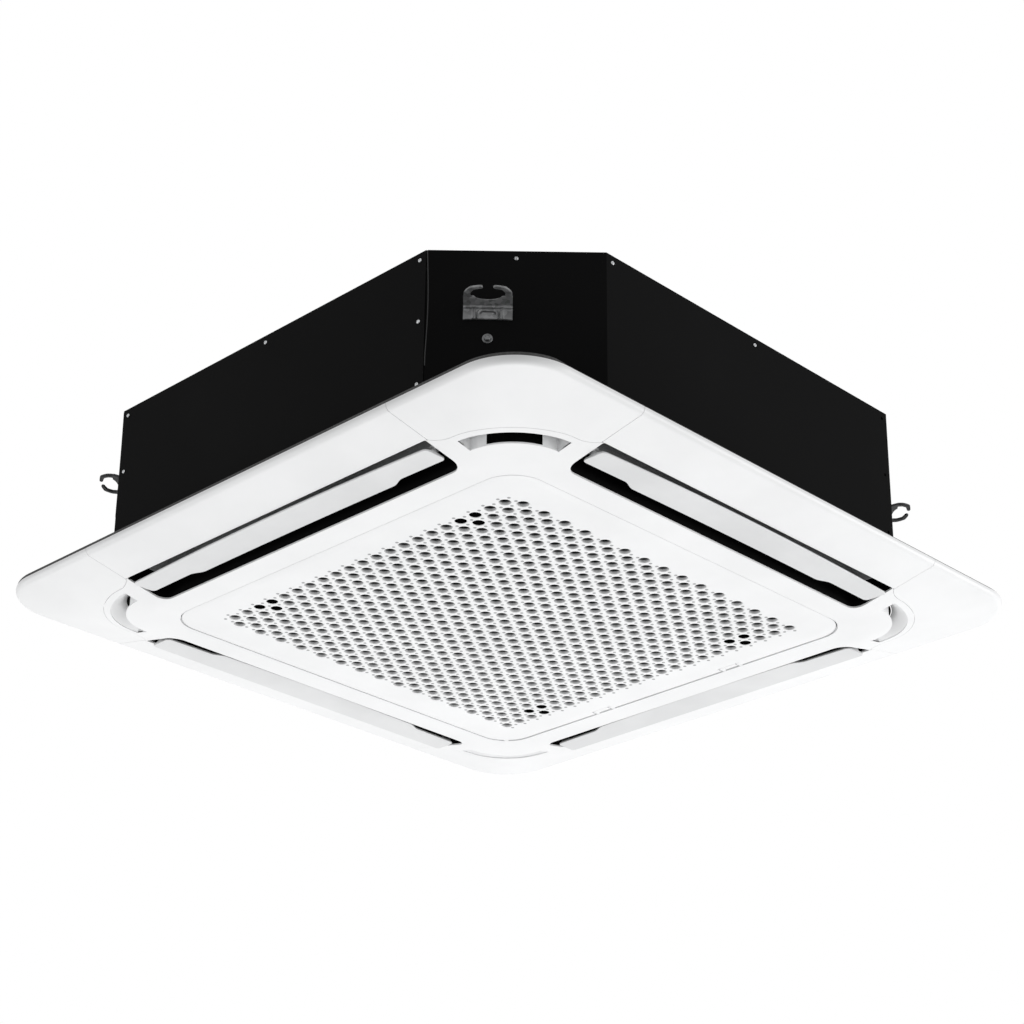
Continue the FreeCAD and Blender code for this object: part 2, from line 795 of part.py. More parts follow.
def corner_covers():
    for number, corner in enumerate(CORNERS):
        cover = common("CornerCover", panel_shell, corner_zone("CoverZone", "seam_gap"))
        keep("corner_cover_" + corner, cover, number)


def outlet_gaskets():
    rings = []
    for side in range(4):
        lip = "outlet_gasket_lip"
        outer = block(
            "GasketOuter", (f"-(duct_half + {lip})", f"duct_half + {lip}"),
            (f"-(slot_outer + duct_wall + {lip})", f"-(slot_inset - duct_wall - {lip})"),
            ("duct_top", "casing_base"),
        )
        hole = block(
            "GasketHole", ("-slot_half", "slot_half"), ("-slot_outer", "-slot_inset"),
            ("duct_top - panel_rim", "casing_base + panel_rim"),
        )
        rings.append(turn(cut("Gasket", outer, [hole]), side))
    keep("outlet_gaskets", group("OutletGaskets", rings))


def panel_bolts():
    bolts = []
    for x, y in ACROSS:
        spot = (f"{x} * panel_bolt_out", f"{y} * panel_bolt_out")
        head = rod("BoltHead", "panel_bolt_head", spot + ("ledge_low - panel_bolt_head_height",),
                   "panel_bolt_head_height")
        shank = rod("BoltShank", "panel_bolt_radius", spot + ("ledge_low - panel_bolt_radius / 2",),
                    "casing_base + panel_bolt_bite - ledge_low")
        bolts.append(fuse("PanelBolt", [head, shank]))
    keep("panel_bolts", group("PanelBolts", bolts))


# Grille: a holed plate that hinges down at the back, with latches at the front and the filter on its back
def hole_grid():
    """Centres of the grille's holes: rows from back to front, each row shifted by half a pitch."""
    rows = int(size("hole_rows"))
    grid = []
    for row in range(rows):
        count = int(size("row_holes")) - row % 2
        y = ((rows - 1) / 2 - row) * size("row_pitch")
        grid.append([((column - (count - 1) / 2) * size("hole_pitch"), y) for column in range(count)])
    return grid


def stud_spots(grid):
    """The holes that studs fill: a triangle of three near each corner of the hole pattern."""
    column = int(size("stud_column"))
    spots = []
    for wide in (0, len(grid) - 2):
        narrow = wide + 1
        for near in (column, len(grid[wide]) - 1 - column):
            spots.append(grid[wide][near])
            spots += [grid[narrow][near - 1], grid[narrow][near]]
    return spots


def holed_plate():
    """The grille's flat plate with its holes, and notched at the back for the two hinges."""
    half = size("grille_half")
    level = size("panel_face")
    rise = FreeCAD.Vector(0, 0, size("grille_thickness"))
    corner = FreeCAD.Vector(-half, -half, level)
    plate = Part.makePlane(2 * half, half + size("grille_back"), corner).extrude(rise)
    upright = [edge for edge in plate.Edges if edge.BoundBox.ZLength > NEAR]
    plate = plate.makeFillet(size("grille_corner_radius"), upright)
    for x in (-1, 1):
        middle = x * size("hinge_spacing") / 2
        start = FreeCAD.Vector(middle - size("notch_outer"), size("hinge_out") - size("notch_depth"), level)
        plate = plate.cut(Part.makeBox(2 * size("notch_outer"), half, rise.z, start))
    base = next(face for face in plate.Faces if abs(face.BoundBox.ZMax - level) < NEAR)
    radius = size("hole_diameter") / 2
    centres = [FreeCAD.Vector(x, y, level) for row in hole_grid() for x, y in row]
    rims = [Part.Wire([Part.makeCircle(radius, centre)]) for centre in centres]
    face = Part.makeFace([base.OuterWire] + rims, "Part::FaceMakerBullseye")
    thing = doc.addObject("Part::Feature", "HoledPlate")
    thing.Shape = face.extrude(rise)
    return thing


def intake_grille():
    knuckles = []
    for x in (-1, 1):
        middle = f"{x} * hinge_spacing / 2"
        start = "hinge_out - notch_depth"
        arm = block("KnuckleArm", (f"{middle} - notch_inner", f"{middle} + notch_inner"),
                    (start, "grille_back"), ("panel_face", "grille_top"))
        spot = (f"{middle} - knuckle_length / 2", "hinge_out", "hinge_level")
        barrel = rod("Knuckle", "knuckle_radius", spot, "knuckle_length", EAST)
        bore = rod("KnuckleBore", "hinge_pin_radius + running_clearance",
                   (f"{middle} - ear_outer", "hinge_out", "hinge_level"), "2 * ear_outer", EAST)
        knuckles.append(cut("BoredKnuckle", fuse("KnuckleSolid", [arm, barrel]), [bore]))
    keep("intake_grille", fuse("IntakeGrille", [holed_plate()] + knuckles))


def grille_studs():
    studs = []
    for x, y in stud_spots(hole_grid()):
        shank = doc.addObject("Part::Cylinder", "StudShank")
        shank.setExpression("Radius", formula("hole_diameter / 2 - stud_clearance"))
        shank.setExpression("Height", formula("grille_thickness - stud_recess"))
        flange = doc.addObject("Part::Cylinder", "StudFlange")
        flange.setExpression("Radius", formula("hole_diameter / 2 + stud_flange"))
        flange.setExpression("Height", formula("stud_flange"))
        place(shank, (str(x), str(y), "panel_face + stud_recess"))
        place(flange, (str(x), str(y), "grille_top"))
        studs.append(fuse("Stud", [shank, flange]))
    keep("grille_studs", group("GrilleStuds", studs))


def grille_hinge_pins():
    pins = []
    for x in (-1, 1):
        spot = (f"{x} * hinge_spacing / 2 - ear_outer", "hinge_out", "hinge_level")
        pins.append(rod("HingePin", "hinge_pin_radius", spot, "2 * ear_outer", EAST))
    keep("grille_hinge_pins", group("GrilleHingePins", pins))


def grille_latches():
    for x, side in ((-1, "left"), (1, "right")):
        middle = f"{x} * latch_spacing / 2"
        slider = block(
            "LatchSlider", (f"{middle} - latch_width / 2", f"{middle} + latch_width / 2"),
            ("-latch_tip", "latch_length - latch_tip"), ("latch_low", "latch_low + latch_thickness"),
        )
        recess = block(
            "LatchRecess", (f"{middle} - latch_width / 4", f"{middle} + latch_width / 4"),
            ("latch_length * 2 / 3 - latch_tip", "latch_length * 5 / 6 - latch_tip"),
            ("latch_low + latch_thickness / 2", "latch_low + 2 * latch_thickness"),
        )
        keep("grille_latch_" + side, cut("GrilleLatch", slider, [recess]))


def filter_screen():
    inner = "(filter_half - filter_bar)"
    whole = ("-filter_half", "filter_half")
    hollow = (f"-{inner}", inner)
    ring = cut(
        "FilterRing", block("FilterOuter", whole, whole, ("filter_low", "filter_top")),
        [block("FilterInner", hollow, hollow, ("filter_low - filter_bar", "filter_top + filter_bar"))],
    )
    ribs = []
    for number in (-1, 0, 1):
        middle = f"{number} * filter_half / 2"
        rib = (f"{middle} - filter_rib / 2", f"{middle} + filter_rib / 2")
        height = ("rib_low", "filter_top")
        ribs.append(block("FilterRib", rib, whole, height))
        ribs.append(block("FilterRib", whole, rib, height))
    keep("filter_frame", fuse("FilterFrame", [ring] + ribs))
    edge = f"({inner} - stud_clearance)"
    span = (f"-{edge}", edge)
    keep("filter_mesh", block("FilterMesh", span, span, ("rib_low - filter_mesh_thickness", "rib_low")))


# Louvers with their motors and bushes
def louver_point(outward, upward):
    """A point of the louver's section, turned by its tilt about the pivot."""
    return (
        f"-(louver_axis_out + ({outward}) * tilt_cos + ({upward}) * tilt_sin)",
        f"louver_axis_level - ({outward}) * tilt_sin + ({upward}) * tilt_cos",
    )


def louver():
    low = "-louver_axis_lift"
    edge = "louver_edge - louver_axis_lift"
    skin = "louver_thickness - louver_axis_lift"
    crown = "stub_radius + louver_edge / 3"
    outline = [
        louver_point("louver_outer_chord", low),
        louver_point("louver_outer_chord", edge),
        louver_point("2 * louver_spine", skin),
        louver_point("louver_spine", crown),
        louver_point("-louver_spine", crown),
        louver_point("-2 * louver_spine", skin),
        louver_point("-louver_inner_chord", edge),
        louver_point("-louver_inner_chord", low),
    ]
    blade = prism("LouverBlade", outline, "-louver_half", "louver_half", "YZ_Plane")
    steps = []
    for x in (-1, 1):
        steps.append(prism("LouverStep", [
            (f"{x} * louver_step_start", "-(slot_inset - louver_spine)"),
            (f"{x} * louver_step_start", "-louver_inner_edge"),
            (f"{x} * louver_step_end", "-step_out"),
            (f"{x} * slot_half", "-step_out"),
            (f"{x} * slot_half", "-(slot_inset - louver_spine)"),
        ], "panel_face - panel_rim", "ceiling"))
    spot = ("-stub_end", "-louver_axis_out", "louver_axis_level")
    stub = rod("Stub", "stub_radius", spot, "2 * stub_end", EAST)
    return fuse("Louver", [cut("LouverStepped", blade, steps), stub])


def louver_motor():
    low = "duct_half + slide_play"
    boss = rod("StepperBoss", "stepper_boss_radius", (low, "-louver_axis_out", "louver_axis_level"),
               "stepper_boss_length + duct_wall", EAST)
    can = rod(
        "StepperCan", "stepper_radius",
        (f"{low} + stepper_boss_length", "-louver_axis_out", "louver_axis_level + stepper_offset"),
        "stepper_length", EAST,
    )
    bore = rod("StepperBore", "stub_radius + running_clearance",
               ("duct_half - duct_wall", "-louver_axis_out", "louver_axis_level"),
               "stub_end + duct_wall + slide_play - duct_half", EAST)
    return cut("LouverMotor", fuse("LouverMotorSolid", [boss, can]), [bore])


def louver_bush():
    spot = ("-slot_half - bush_length", "-louver_axis_out", "louver_axis_level")
    sleeve = rod("BushSleeve", "bush_radius", spot, "bush_length", EAST)
    beyond = ("-slot_half - 2 * bush_length", "-louver_axis_out", "louver_axis_level")
    bore = rod("BushBore", "stub_radius + running_clearance", beyond, "3 * bush_length", EAST)
    return cut("LouverBush", sleeve, [bore])


def louvers():
    for number, side in enumerate(SIDES):
        keep("louver_" + side, louver(), number)
        keep("louver_motor_" + side, louver_motor(), number)
    keep("louver_bushes", group("LouverBushes", around(louver_bush)))


# Casing: four folded sheets, a top plate and the screws that join them
def side_legs(side):
    """The chamfer legs at the left and right ends of a side, seen from outside."""
    legs = {corner: "chamfer_leg" for corner in CORNERS}
    legs["back_right"] = "wide_chamfer_leg"
    return legs[CORNERS[side - 1]], legs[CORNERS[side]]


def screw_spots(side):
    """Where screws sit on a side's face: distance along the face and level."""
    left, right = side_legs(side)
    top = "casing_top - screw_margin"
    seam = f"casing_half - {right} - sheet_flange / 2"
    spots = [(f"{left} + screw_margin - casing_half", top), (f"({left} - {right}) / 2", top)]
    spots += [(seam, f"{top} - {number} * screw_step") for number in range(3)]
    return spots


def side_screws(side, clearance):
    """The screws of one side, or with a clearance the holes for them."""
    screws = []
    for along, level in screw_spots(side):
        inner = (along, "-(casing_half - screw_shank_length)", level)
        shank = rod("ScrewShank", f"screw_shank_radius + {clearance}", inner, "screw_shank_length", SOUTH)
        if clearance != "0":
            screws.append(shank)
            continue
        outer = (along, "-casing_half", level)
        head = rod("ScrewHead", "screw_head_radius", outer, "screw_head_height", SOUTH)
        screws.append(fuse("CasingScrew", [shank, head]))
    return turn(group("SideScrews", screws), side)


def corner_reach(corner):
    """How far a corner's cut face lies from the centre."""
    return "wide_chamfer_out" if corner == "back_right" else "chamfer_out"


def corner_aim(corner):
    """The outward direction of a corner."""
    x, y = SIGNS[CORNERS.index(corner)]
    return FreeCAD.Vector(x, y, 0)


def hanger_bolt(corner, clearance):
    """The bolt and washer below a hanger, or with a clearance the hole for it."""
    signs = SIGNS[CORNERS.index(corner)]
    face = corner_reach(corner)
    aim = corner_aim(corner)
    level = "-hanger_bolt_drop"

    def spot(out):
        return diagonal_spot(out, "rod_shift", *signs, level)

    shank = rod("HangerShank", f"hanger_bolt_radius + {clearance}", spot(f"{face} - screw_shank_length"),
                "screw_shank_length", aim)
    if clearance != "0":
        return shank
    washer = rod("HangerWasher", "hanger_washer_radius", spot(face), "hanger_washer_thickness", aim)
    head = rod("HangerHead", "hanger_bolt_head", spot(face),
               "hanger_washer_thickness + hanger_bolt_head_height", aim)
    return fuse("HangerBolt", [shank, washer, head])


def pipe_spot(out, shift, level):
    """A spot in the back left corner."""
    return diagonal_spot(out, shift, *SIGNS[CORNERS.index("back_left")], level)


def pipe_holes():
    """Ways through the back left corner for the two pipes and the drain port."""
    aim = corner_aim("back_left")
    holes = []
    for radius, shift, level in (
        ("gas_pipe_radius", "-gas_shift", "gas_level"),
        ("liquid_pipe_radius", "-liquid_shift", "liquid_level"),
        ("drain_neck", "pump_shift", "drain_level"),
    ):
        start = pipe_spot("chamfer_out - header_inset / 2", shift, level)
        holes.append(rod("PipeHole", f"{radius} + pipe_clearance", start, "header_inset", aim))
    return holes


def side_panels(screw_room):
    for number, side in enumerate(SIDES):
        left, right = side_legs(number)
        half = "casing_half"
        outer = "(sheet + sheet_gap)"
        inner = "(2 * sheet + sheet_gap)"
        end = f"{half} - {right} - slide_play"
        bend = "(root_two * sheet)"
        outline = [
            (f"{outer} - {half}", f"{left} + sheet_flange - {half}"),
            (f"{outer} - {half}", f"{left} - {outer} - {half}"),
            (f"{left} - {half}", f"-{half}"),
            (end, f"-{half}"),
            (end, f"sheet - {half}"),
            (f"{left} + {bend} - sheet - {half}", f"sheet - {half}"),
            (f"{inner} - {half}", f"{left} + {bend} - {inner} - {half}"),
            (f"{inner} - {half}", f"{left} + sheet_flange - {half}"),
        ]
        folded = turn(prism("FoldedSheet", outline, "casing_base", "casing_top"), number)
        taken = [screw_room]
        if side == "left":
            taken += pipe_holes()
        if side == "back":
            spot = ("gland_place", "casing_half - gland_length", "gland_level")
            taken.append(rod("GlandHole", "gland_neck + pipe_clearance", spot, "2 * gland_length", NORTH))
        keep("side_panel_" + side, cut("SidePanel", folded, taken))


def top_plate(screw_room):
    outer = prism("TopOuter", octagon("skirt_inset"), "plate_top - top_skirt", "plate_top")
    inner = prism("TopInner", octagon("skirt_inset + sheet"), "plate_top - 2 * top_skirt", "plate_under")
    half = "bead_width / 2"
    bead = turned("Bead", [
        (f"bead_radius - {half}", "plate_top - sheet / 2"),
        (f"bead_radius + {half}", "plate_top - sheet / 2"),
        (f"bead_radius + {half}", "plate_top"),
        (f"bead_radius + {half} - bead_height", "casing_top"),
        (f"bead_radius - {half} + bead_height", "casing_top"),
        (f"bead_radius - {half}", "plate_top"),
    ])
    plate = fuse("TopPlateSolid", [cut("TopTray", outer, [inner]), bead])
    keep("top_plate", cut("TopPlate", plate, [screw_room]))


def hanger_brackets():
    for corner, signs in zip(CORNERS, SIGNS):
        face = corner_reach(corner)
        end = "(rod_out + lug_beyond_rod)"
        half = "lug_width / 2"
        bend = f"({end} - lug_corner)"
        slot = "hanger_slot_width / 2"
        mouth = "hanger_mouth / 2"
        near = "rod_out - hanger_slot_depth / 2"
        far = "rod_out + hanger_slot_depth / 2"
        one_side = [
            (face, half), (bend, half), (end, f"{half} - lug_corner"), (end, mouth), (far, mouth),
            (far, slot), (near, slot),
        ]
        outline = [(out, f"-({aside})") for out, aside in one_side] + one_side[::-1]
        points = [diagonal_spot(out, f"rod_shift + {aside}", *signs, "0")[:2] for out, aside in outline]
        lug = prism("Lug", points, "-lug_thickness", "0")
        skin = f"{face} + lug_thickness"
        foot = [(face, f"-{half}"), (skin, f"-{half}"), (skin, half), (face, half)]
        points = [diagonal_spot(out, f"rod_shift + {aside}", *signs, "0")[:2] for out, aside in foot]
        plate = prism("HangerPlate", points, "-hanger_plate_drop", "hanger_plate_rise")
        keep("hanger_bracket_" + corner, fuse("HangerBracket", [lug, plate]))


def casing():
    room = "bolt_clearance / 2"
    holes = [side_screws(side, room) for side in range(4)] + [hanger_bolt(corner, room) for corner in CORNERS]
    screw_room = group("ScrewRoom", holes)
    side_panels(screw_room)
    top_plate(screw_room)
    keep("casing_screws", group("CasingScrews", [side_screws(side, "0") for side in range(4)]))
    keep("bracket_bolts", group("BracketBolts", [hanger_bolt(corner, "0") for corner in CORNERS]))
    hanger_brackets()
    gland = ("gland_place", "casing_half", "gland_level")
    neck = ("gland_place", "casing_half - screw_shank_length", "gland_level")
    body = fuse("GlandSolid", [
        rod("GlandHead", "gland_radius", gland, "gland_length", NORTH),
        rod("GlandNeck", "gland_neck", neck, "gland_length", NORTH),
    ])
    bore = rod("GlandBore", "gland_bore", neck, "2 * gland_length", NORTH)
    keep("cable_gland", cut("CableGland", body, [bore]))


# Airway: insulation, drain pan and bell mouth
def airway():
    outer = prism("LinerOuter", octagon("liner_inset"), "casing_base", "plate_under")
    inner = prism("LinerInner", octagon("liner_inset + liner_thickness"), "casing_base - panel_rim",
                  "casing_top + panel_rim")
    keep("insulation_liner", cut("InsulationLiner", outer, [inner] + pipe_holes()))

    pan = prism("PanBlock", octagon("pan_inset"), "casing_base", "pan_top")
    below = "casing_base - panel_rim"
    above = "pan_top + panel_rim"
    slots = []
    for side in range(4):
        slot = block("PanSlot", ("-slot_half", "slot_half"), ("-slot_outer", "-slot_inset"), (below, above))
        slots.append(turn(group("PanSlots", [slot]), side))
    margin = "trough_margin"
    outer_bend = f"coil_corner_radius + {margin}"
    inner_bend = f"coil_corner_radius - coil_depth - {margin}"
    trough = cut(
        "Trough",
        rounded_prism("TroughOuter", f"coil_half + {margin}", outer_bend, "trough_floor", above),
        [rounded_prism("TroughInner", f"coil_inner_half - {margin}", inner_bend, "trough_floor - panel_rim",
                       "pan_top + 2 * panel_rim")],
    )
    sump = block("Sump", ("-(sump_inset + sump_length)", "-sump_inset"),
                 ("sump_side", "sump_side + sump_width"), ("sump_floor", above))
    throat = rod("PanThroat", "pan_opening_radius", ("0", "0", below), "pan_thickness + 2 * panel_rim")
    holes = bolt_holes(below, "panel_bolt_bite + panel_rim + bolt_clearance")
    keep("drain_pan", cut("DrainPan", pan, slots + holes + [trough, sump, throat]))

    flange = "(pan_top + mouth_wall)"
    lip = f"({flange} + mouth_lip)"
    throat_radius = "mouth_throat_radius"
    flare = "(mouth_rim_radius - mouth_throat_radius)"
    drop = "(pan_top - mouth_low)"
    wall = "mouth_wall"
    low_out, low_up = MOUTH_LOW_BEND
    high_out, high_up = MOUTH_HIGH_BEND
    keep("bell_mouth", turned("BellMouth", [
        ("mouth_rim_radius", "mouth_low"),
        (f"{throat_radius} + {low_out} * {flare}", f"mouth_low + {low_up} * {drop}"),
        (f"{throat_radius} + {high_out} * {flare}", f"mouth_low + {high_up} * {drop}"),
        (throat_radius, flange),
        (throat_radius, lip),
        (f"{throat_radius} + {wall}", lip),
        (f"{throat_radius} + {wall}", flange),
        ("mouth_flange_radius", flange),
        ("mouth_flange_radius", "pan_top"),
        (f"{throat_radius} + {wall} + {MOUTH_FLANGE_STEP} * {flare}", "pan_top"),
        (f"{throat_radius} + {high_out} * {flare} + {wall}",
         f"mouth_low + {high_up} * {drop} + {low_up} * {wall}"),
        (f"{throat_radius} + {low_out} * {flare} + {high_up} * {wall}",
         f"mouth_low + {low_up} * {drop} + {high_up} * {wall}"),
        (f"mouth_rim_radius + {low_out} * {wall}", f"mouth_low + {wall}"),
    ]))


# Coil with its bends and header, and the pipes that leave by the back left corner
def coil():
    ring = cut(
        "CoilRing", rounded_prism("CoilOuter", "coil_half", "coil_corner_radius", "trough_floor", "coil_top"),
        [rounded_prism("CoilInner", "coil_inner_half", "coil_corner_radius - coil_depth",
                       "trough_floor - panel_rim", "coil_top + panel_rim"),
         block("CoilMissing", ("-panel_half", "-coil_end_inset"), ("coil_end_inset", "panel_half"),
               ("trough_floor - panel_rim", "coil_top + panel_rim"))],
    )
    keep("evaporator_coil", ring)
    height = ("trough_floor", "coil_top")
    plates = [
        block("EndPlate", ("-coil_end_inset - end_plate", "-coil_end_inset"),
              ("coil_inner_half", "coil_half"), height),
        block("EndPlate", ("-coil_half", "-coil_inner_half"),
              ("coil_end_inset", "coil_end_inset + end_plate"), height),
    ]
    keep("coil_end_plates", group("CoilEndPlates", plates))
    bends = []
    rows = int(size("bend_rows"))
    middle = "(coil_half - coil_depth / 2)"
    for row in range(rows):
        level = f"trough_floor + {(row + 0.5) / rows} * (coil_top - trough_floor)"
        for spot, start in (
            (("-coil_end_inset - end_plate", middle, level), QUARTER),
            ((f"-{middle}", "coil_end_inset + end_plate", level), 0.0),
        ):
            bend = doc.addObject("Part::Torus", "CoilBend")
            bend.setExpression("Radius1", formula("bend_radius"))
            bend.setExpression("Radius2", formula("bend_tube_radius"))
            bend.Angle3 = 2 * QUARTER
            bends.append(place(bend, spot, FreeCAD.Rotation(UP, start)))
    keep("coil_bends", group("CoilBends", bends))


def pipe(name, radius, wall, start, length):
    """A tube running out through the back left corner."""
    aim = corner_aim("back_left")
    outer = rod(name + "Outer", radius, start, length, aim)
    return cut(name, outer, [rod(name + "Bore", f"{radius} - {wall}", start, length, aim)])


def pipes():
    aim = corner_aim("back_left")
    foot = pipe_spot("header_out", "-gas_shift", "header_low")
    column = rod("HeaderColumn", "header_radius", foot, "header_height")
    mouth = pipe_spot("header_out", "-gas_shift", "gas_level")
    joint = rod("HeaderJoint", "gas_pipe_radius + shaft_fit", mouth, "header_inset", aim)
    keep("coil_header", cut("CoilHeader", column, [joint]))
    end = "chamfer_out + pipe_reach"
    nuts = []
    for node, radius, shift, level, begin in (
        ("gas_pipe", "gas_pipe_radius", "-gas_shift", "gas_level", "header_out"),
        ("liquid_pipe", "liquid_pipe_radius", "-liquid_shift", "liquid_level", "liquid_out"),
    ):
        tube = pipe("Pipe", radius, "pipe_wall", pipe_spot(begin, shift, level), f"{end} - {begin}")
        keep(node, tube)
        nut = doc.addObject("Part::Prism", "NutBlank")
        nut.Polygon = 6
        nut.setExpression("Circumradius", formula(f"{radius} + flare_nut_wall"))
        nut.setExpression("Height", formula("flare_nut_length"))
        spot = pipe_spot(f"{end} - flare_nut_length", shift, level)
        place(nut, spot, FreeCAD.Rotation(UP, aim))
        bore = rod("NutBore", f"{radius} + shaft_fit", spot, "flare_nut_length", aim)
        nuts.append(cut("FlareNut", nut, [bore]))
    keep("flare_nuts", group("FlareNuts", nuts))
    half = "pipe_plate_width / 2"
    middle = "-(gas_shift + liquid_shift) / 2"
    face = [("chamfer_out", f"-{half}"), ("chamfer_out + end_plate", f"-{half}"),
            ("chamfer_out + end_plate", half), ("chamfer_out", half)]
    points = [pipe_spot(out, f"{middle} + {aside}", "0")[:2] for out, aside in face]
    level = "(gas_level + liquid_level) / 2"
    rise = "pipe_plate_height / 2"
    plate = prism("PipePlateBlank", points, f"{level} - {rise}", f"{level} + {rise}")
    keep("pipe_plate", cut("PipePlate", plate, pipe_holes()))


# Fan wheel on its motor
def fan():
    wall = "fan_wall"
    bore = "shaft_radius + shaft_fit"
    hub = turned("FanHub", [
        (bore, "hub_low"),
        ("fan_hub_radius", "hub_low"),
        ("fan_hub_radius", "hub_floor"),
        ("fan_dome_foot", "hub_floor"),
        ("fan_dome_radius", f"fan_top - {wall}"),
        ("fan_radius", f"fan_top - {wall}"),
        ("fan_radius", "fan_top"),
        (f"fan_dome_radius - {wall} / 2", "fan_top"),
        (f"fan_dome_foot - {wall} / 2", f"hub_floor + {wall}"),
        ("fan_hub_radius", f"hub_floor + {wall}"),
        ("fan_hub_radius", "hub_high"),
        (bore, "hub_high"),
    ])
    shroud_top = "fan_base + fan_shroud_height"
    shroud = turned("FanShroud", [
        ("fan_inlet_radius", "fan_base"),
        (f"fan_inlet_radius + {wall}", "fan_base"),
        ("fan_radius", shroud_top),
        (f"fan_radius - {wall}", shroud_top),
    ])
    zone = turned("BladeZone", [
        (f"fan_inlet_radius + {wall} / 2", f"fan_base + {wall} / 4"),
        (f"fan_radius - {wall} / 2", shroud_top),
        (f"fan_radius - {wall} / 2", f"fan_top - {wall} / 2"),
        ("fan_dome_radius + fan_wall", f"fan_top - {wall} / 2"),
        ("fan_dome_radius + fan_wall", "fan_base + fan_dome_depth"),
    ])
    middle = "(blade_root + blade_tip) / 2"
    near = [("blade_root", "0"), (middle, "-blade_bow"), ("blade_tip", "-blade_sweep")]
    far = [(across, f"{along} + blade_thickness") for across, along in near]
    blades = []
    count = int(size("fan_blades"))
    for number in range(count):
        blade = prism("Blade", near + far[::-1], "fan_base", "fan_top")
        blades.append(turn(blade, 4.0 * number / count))
    keep("turbo_fan", fuse("TurboFan", [hub, shroud, common("Blades", fuse("BladeSet", blades), zone)]))

    nut_low = "hub_low - fan_nut_height"
    keep("motor_shaft", rod("MotorShaft", "shaft_radius", ("0", "0", f"{nut_low} - shaft_radius"),
                            f"motor_top - fan_nut_height - ({nut_low} - shaft_radius)"))
    nut = doc.addObject("Part::Prism", "FanNutBlank")
    nut.Polygon = 6
    nut.setExpression("Circumradius", formula("fan_nut_radius"))
    nut.setExpression("Height", formula("fan_nut_height"))
    place(nut, ("0", "0", nut_low))
    keep("fan_nut", cut("FanNut", nut, [rod("FanNutBore", bore, ("0", "0", nut_low), "fan_nut_height")]))
    can = rod("MotorCan", "motor_radius", ("0", "0", "motor_low"), "motor_height")
    way = rod("MotorBore", "shaft_radius + running_clearance", ("0", "0", "motor_low"),
              "motor_height - shaft_radius")
    keep("fan_motor", cut("FanMotor", can, [way]))
    mounts = []
    count = int(size("motor_mount_count"))
    for number in range(count):
        angle = 2 * math.pi * number / count
        across = f"{math.cos(angle)} * motor_mount_circle"
        along = f"{math.sin(angle)} * motor_mount_circle"
        spot = (across, along, "motor_top")
        mounts.append(rod("MotorMount", "motor_mount_radius", spot, "motor_mount_height"))
    keep("motor_mounts", group("MotorMounts", mounts))


# Drain pump with its port and float switch
def drain():
    aim = corner_aim("back_left")
    spot = ("-pump_inset_x", "pump_inset_y", "sump_floor + pipe_wall")
    can = rod("PumpCan", "pump_radius", spot, "pump_height")
    spigot = rod("PumpSpigot", "drain_bore - shaft_fit", pipe_spot("pump_out", "pump_shift", "drain_level"),
                 "pump_radius + drain_pipe_wall * 4", aim)
    keep("drain_pump", fuse("DrainPump", [can, spigot]))
    begin = "(pump_out + pump_radius + pipe_wall)"
    shoulder = "(chamfer_out + sheet_gap)"
    end = "(chamfer_out + drain_pipe_reach)"
    start = pipe_spot(begin, "pump_shift", "drain_level")
    neck = rod("PortNeck", "drain_neck", start, f"{end} - {begin}", aim)
    outside = rod("PortOutside", "drain_pipe_radius", pipe_spot(shoulder, "pump_shift", "drain_level"),
                  f"{end} - {shoulder}", aim)
    bore = rod("PortBore", "drain_bore", start, f"{end} - {begin}", aim)
    keep("drain_port", cut("DrainPort", fuse("DrainPortSolid", [neck, outside]), [bore]))
    top = "sump_floor + pipe_wall + pump_height"
    arm = block(
        "FloatArm", ("-pump_inset_x", "float_stem_radius - float_inset_x"),
        ("pump_inset_y - float_stem_radius", "pump_inset_y + float_stem_radius"),
        (top, f"{top} + float_stem_radius"),
    )
    foot = "sump_floor + pipe_wall"
    stem = rod("FloatRod", "float_stem_radius", ("-float_inset_x", "pump_inset_y", foot),
               f"{top} + float_stem_radius - ({foot})")
    keep("float_stem", fuse("FloatStem", [arm, stem]))
    low = ("-float_inset_x", "pump_inset_y", f"{foot} + pipe_wall")
    ball = rod("FloatBlank", "float_radius", low, "float_height")
    bore = rod("FloatBore", "float_stem_radius + running_clearance", low, "float_height")
    keep("float_ball", cut("FloatBall", ball, [bore]))


# Control box under the drain pan, with its board and terminals
def controls():
    half = "box_length / 2"
    x = (f"-{half}", half)
    y = ("-box_offset - box_depth / 2", "box_depth / 2 - box_offset")
    wall = "box_wall"
    shell = cut(
        "BoxShell", block("BoxOuter", x, y, ("box_low", "box_top")),
        [block("BoxInner", (f"{wall} - {half}", f"{half} - {wall}"), (f"{y[0]} + {wall}", f"{y[1]} - {wall}"),
               (f"box_low - {wall}", f"box_top - {wall}"))],
    )
    board_x = (f"4 * {wall} - {half}", "box_length / 6")
    board_y = (f"{y[0]} + 4 * {wall}", f"{y[1]} - 4 * {wall}")
    board_top = f"box_top - {wall} - board_stand"
    posts = []
    for across in (f"8 * {wall} - {half}", f"box_length / 6 - 4 * {wall}"):
        for along in (f"{y[0]} + 8 * {wall}", f"{y[1]} - 8 * {wall}"):
            spot = (across, along, board_top)
            posts.append(rod("BoardPost", f"2 * {wall}", spot, f"board_stand + {wall} / 2"))
    keep("control_box", fuse("ControlBox", [shell] + posts))
    keep("control_box_lid", block("ControlBoxLid", x, y, (f"box_low - {wall}", "box_low")))
    board_z = (f"{board_top} - board_thickness", board_top)
    keep("circuit_board", block("CircuitBoard", board_x, board_y, board_z))
    end = f"{half} - 4 * {wall}"
    keep("terminal_block", block(
        "TerminalBlock", (f"{end} - terminal_length", end),
        ("-box_offset - terminal_depth / 2", "terminal_depth / 2 - box_offset"),
        (f"box_top - {wall} - terminal_height", f"box_top - {wall}"),
    ))


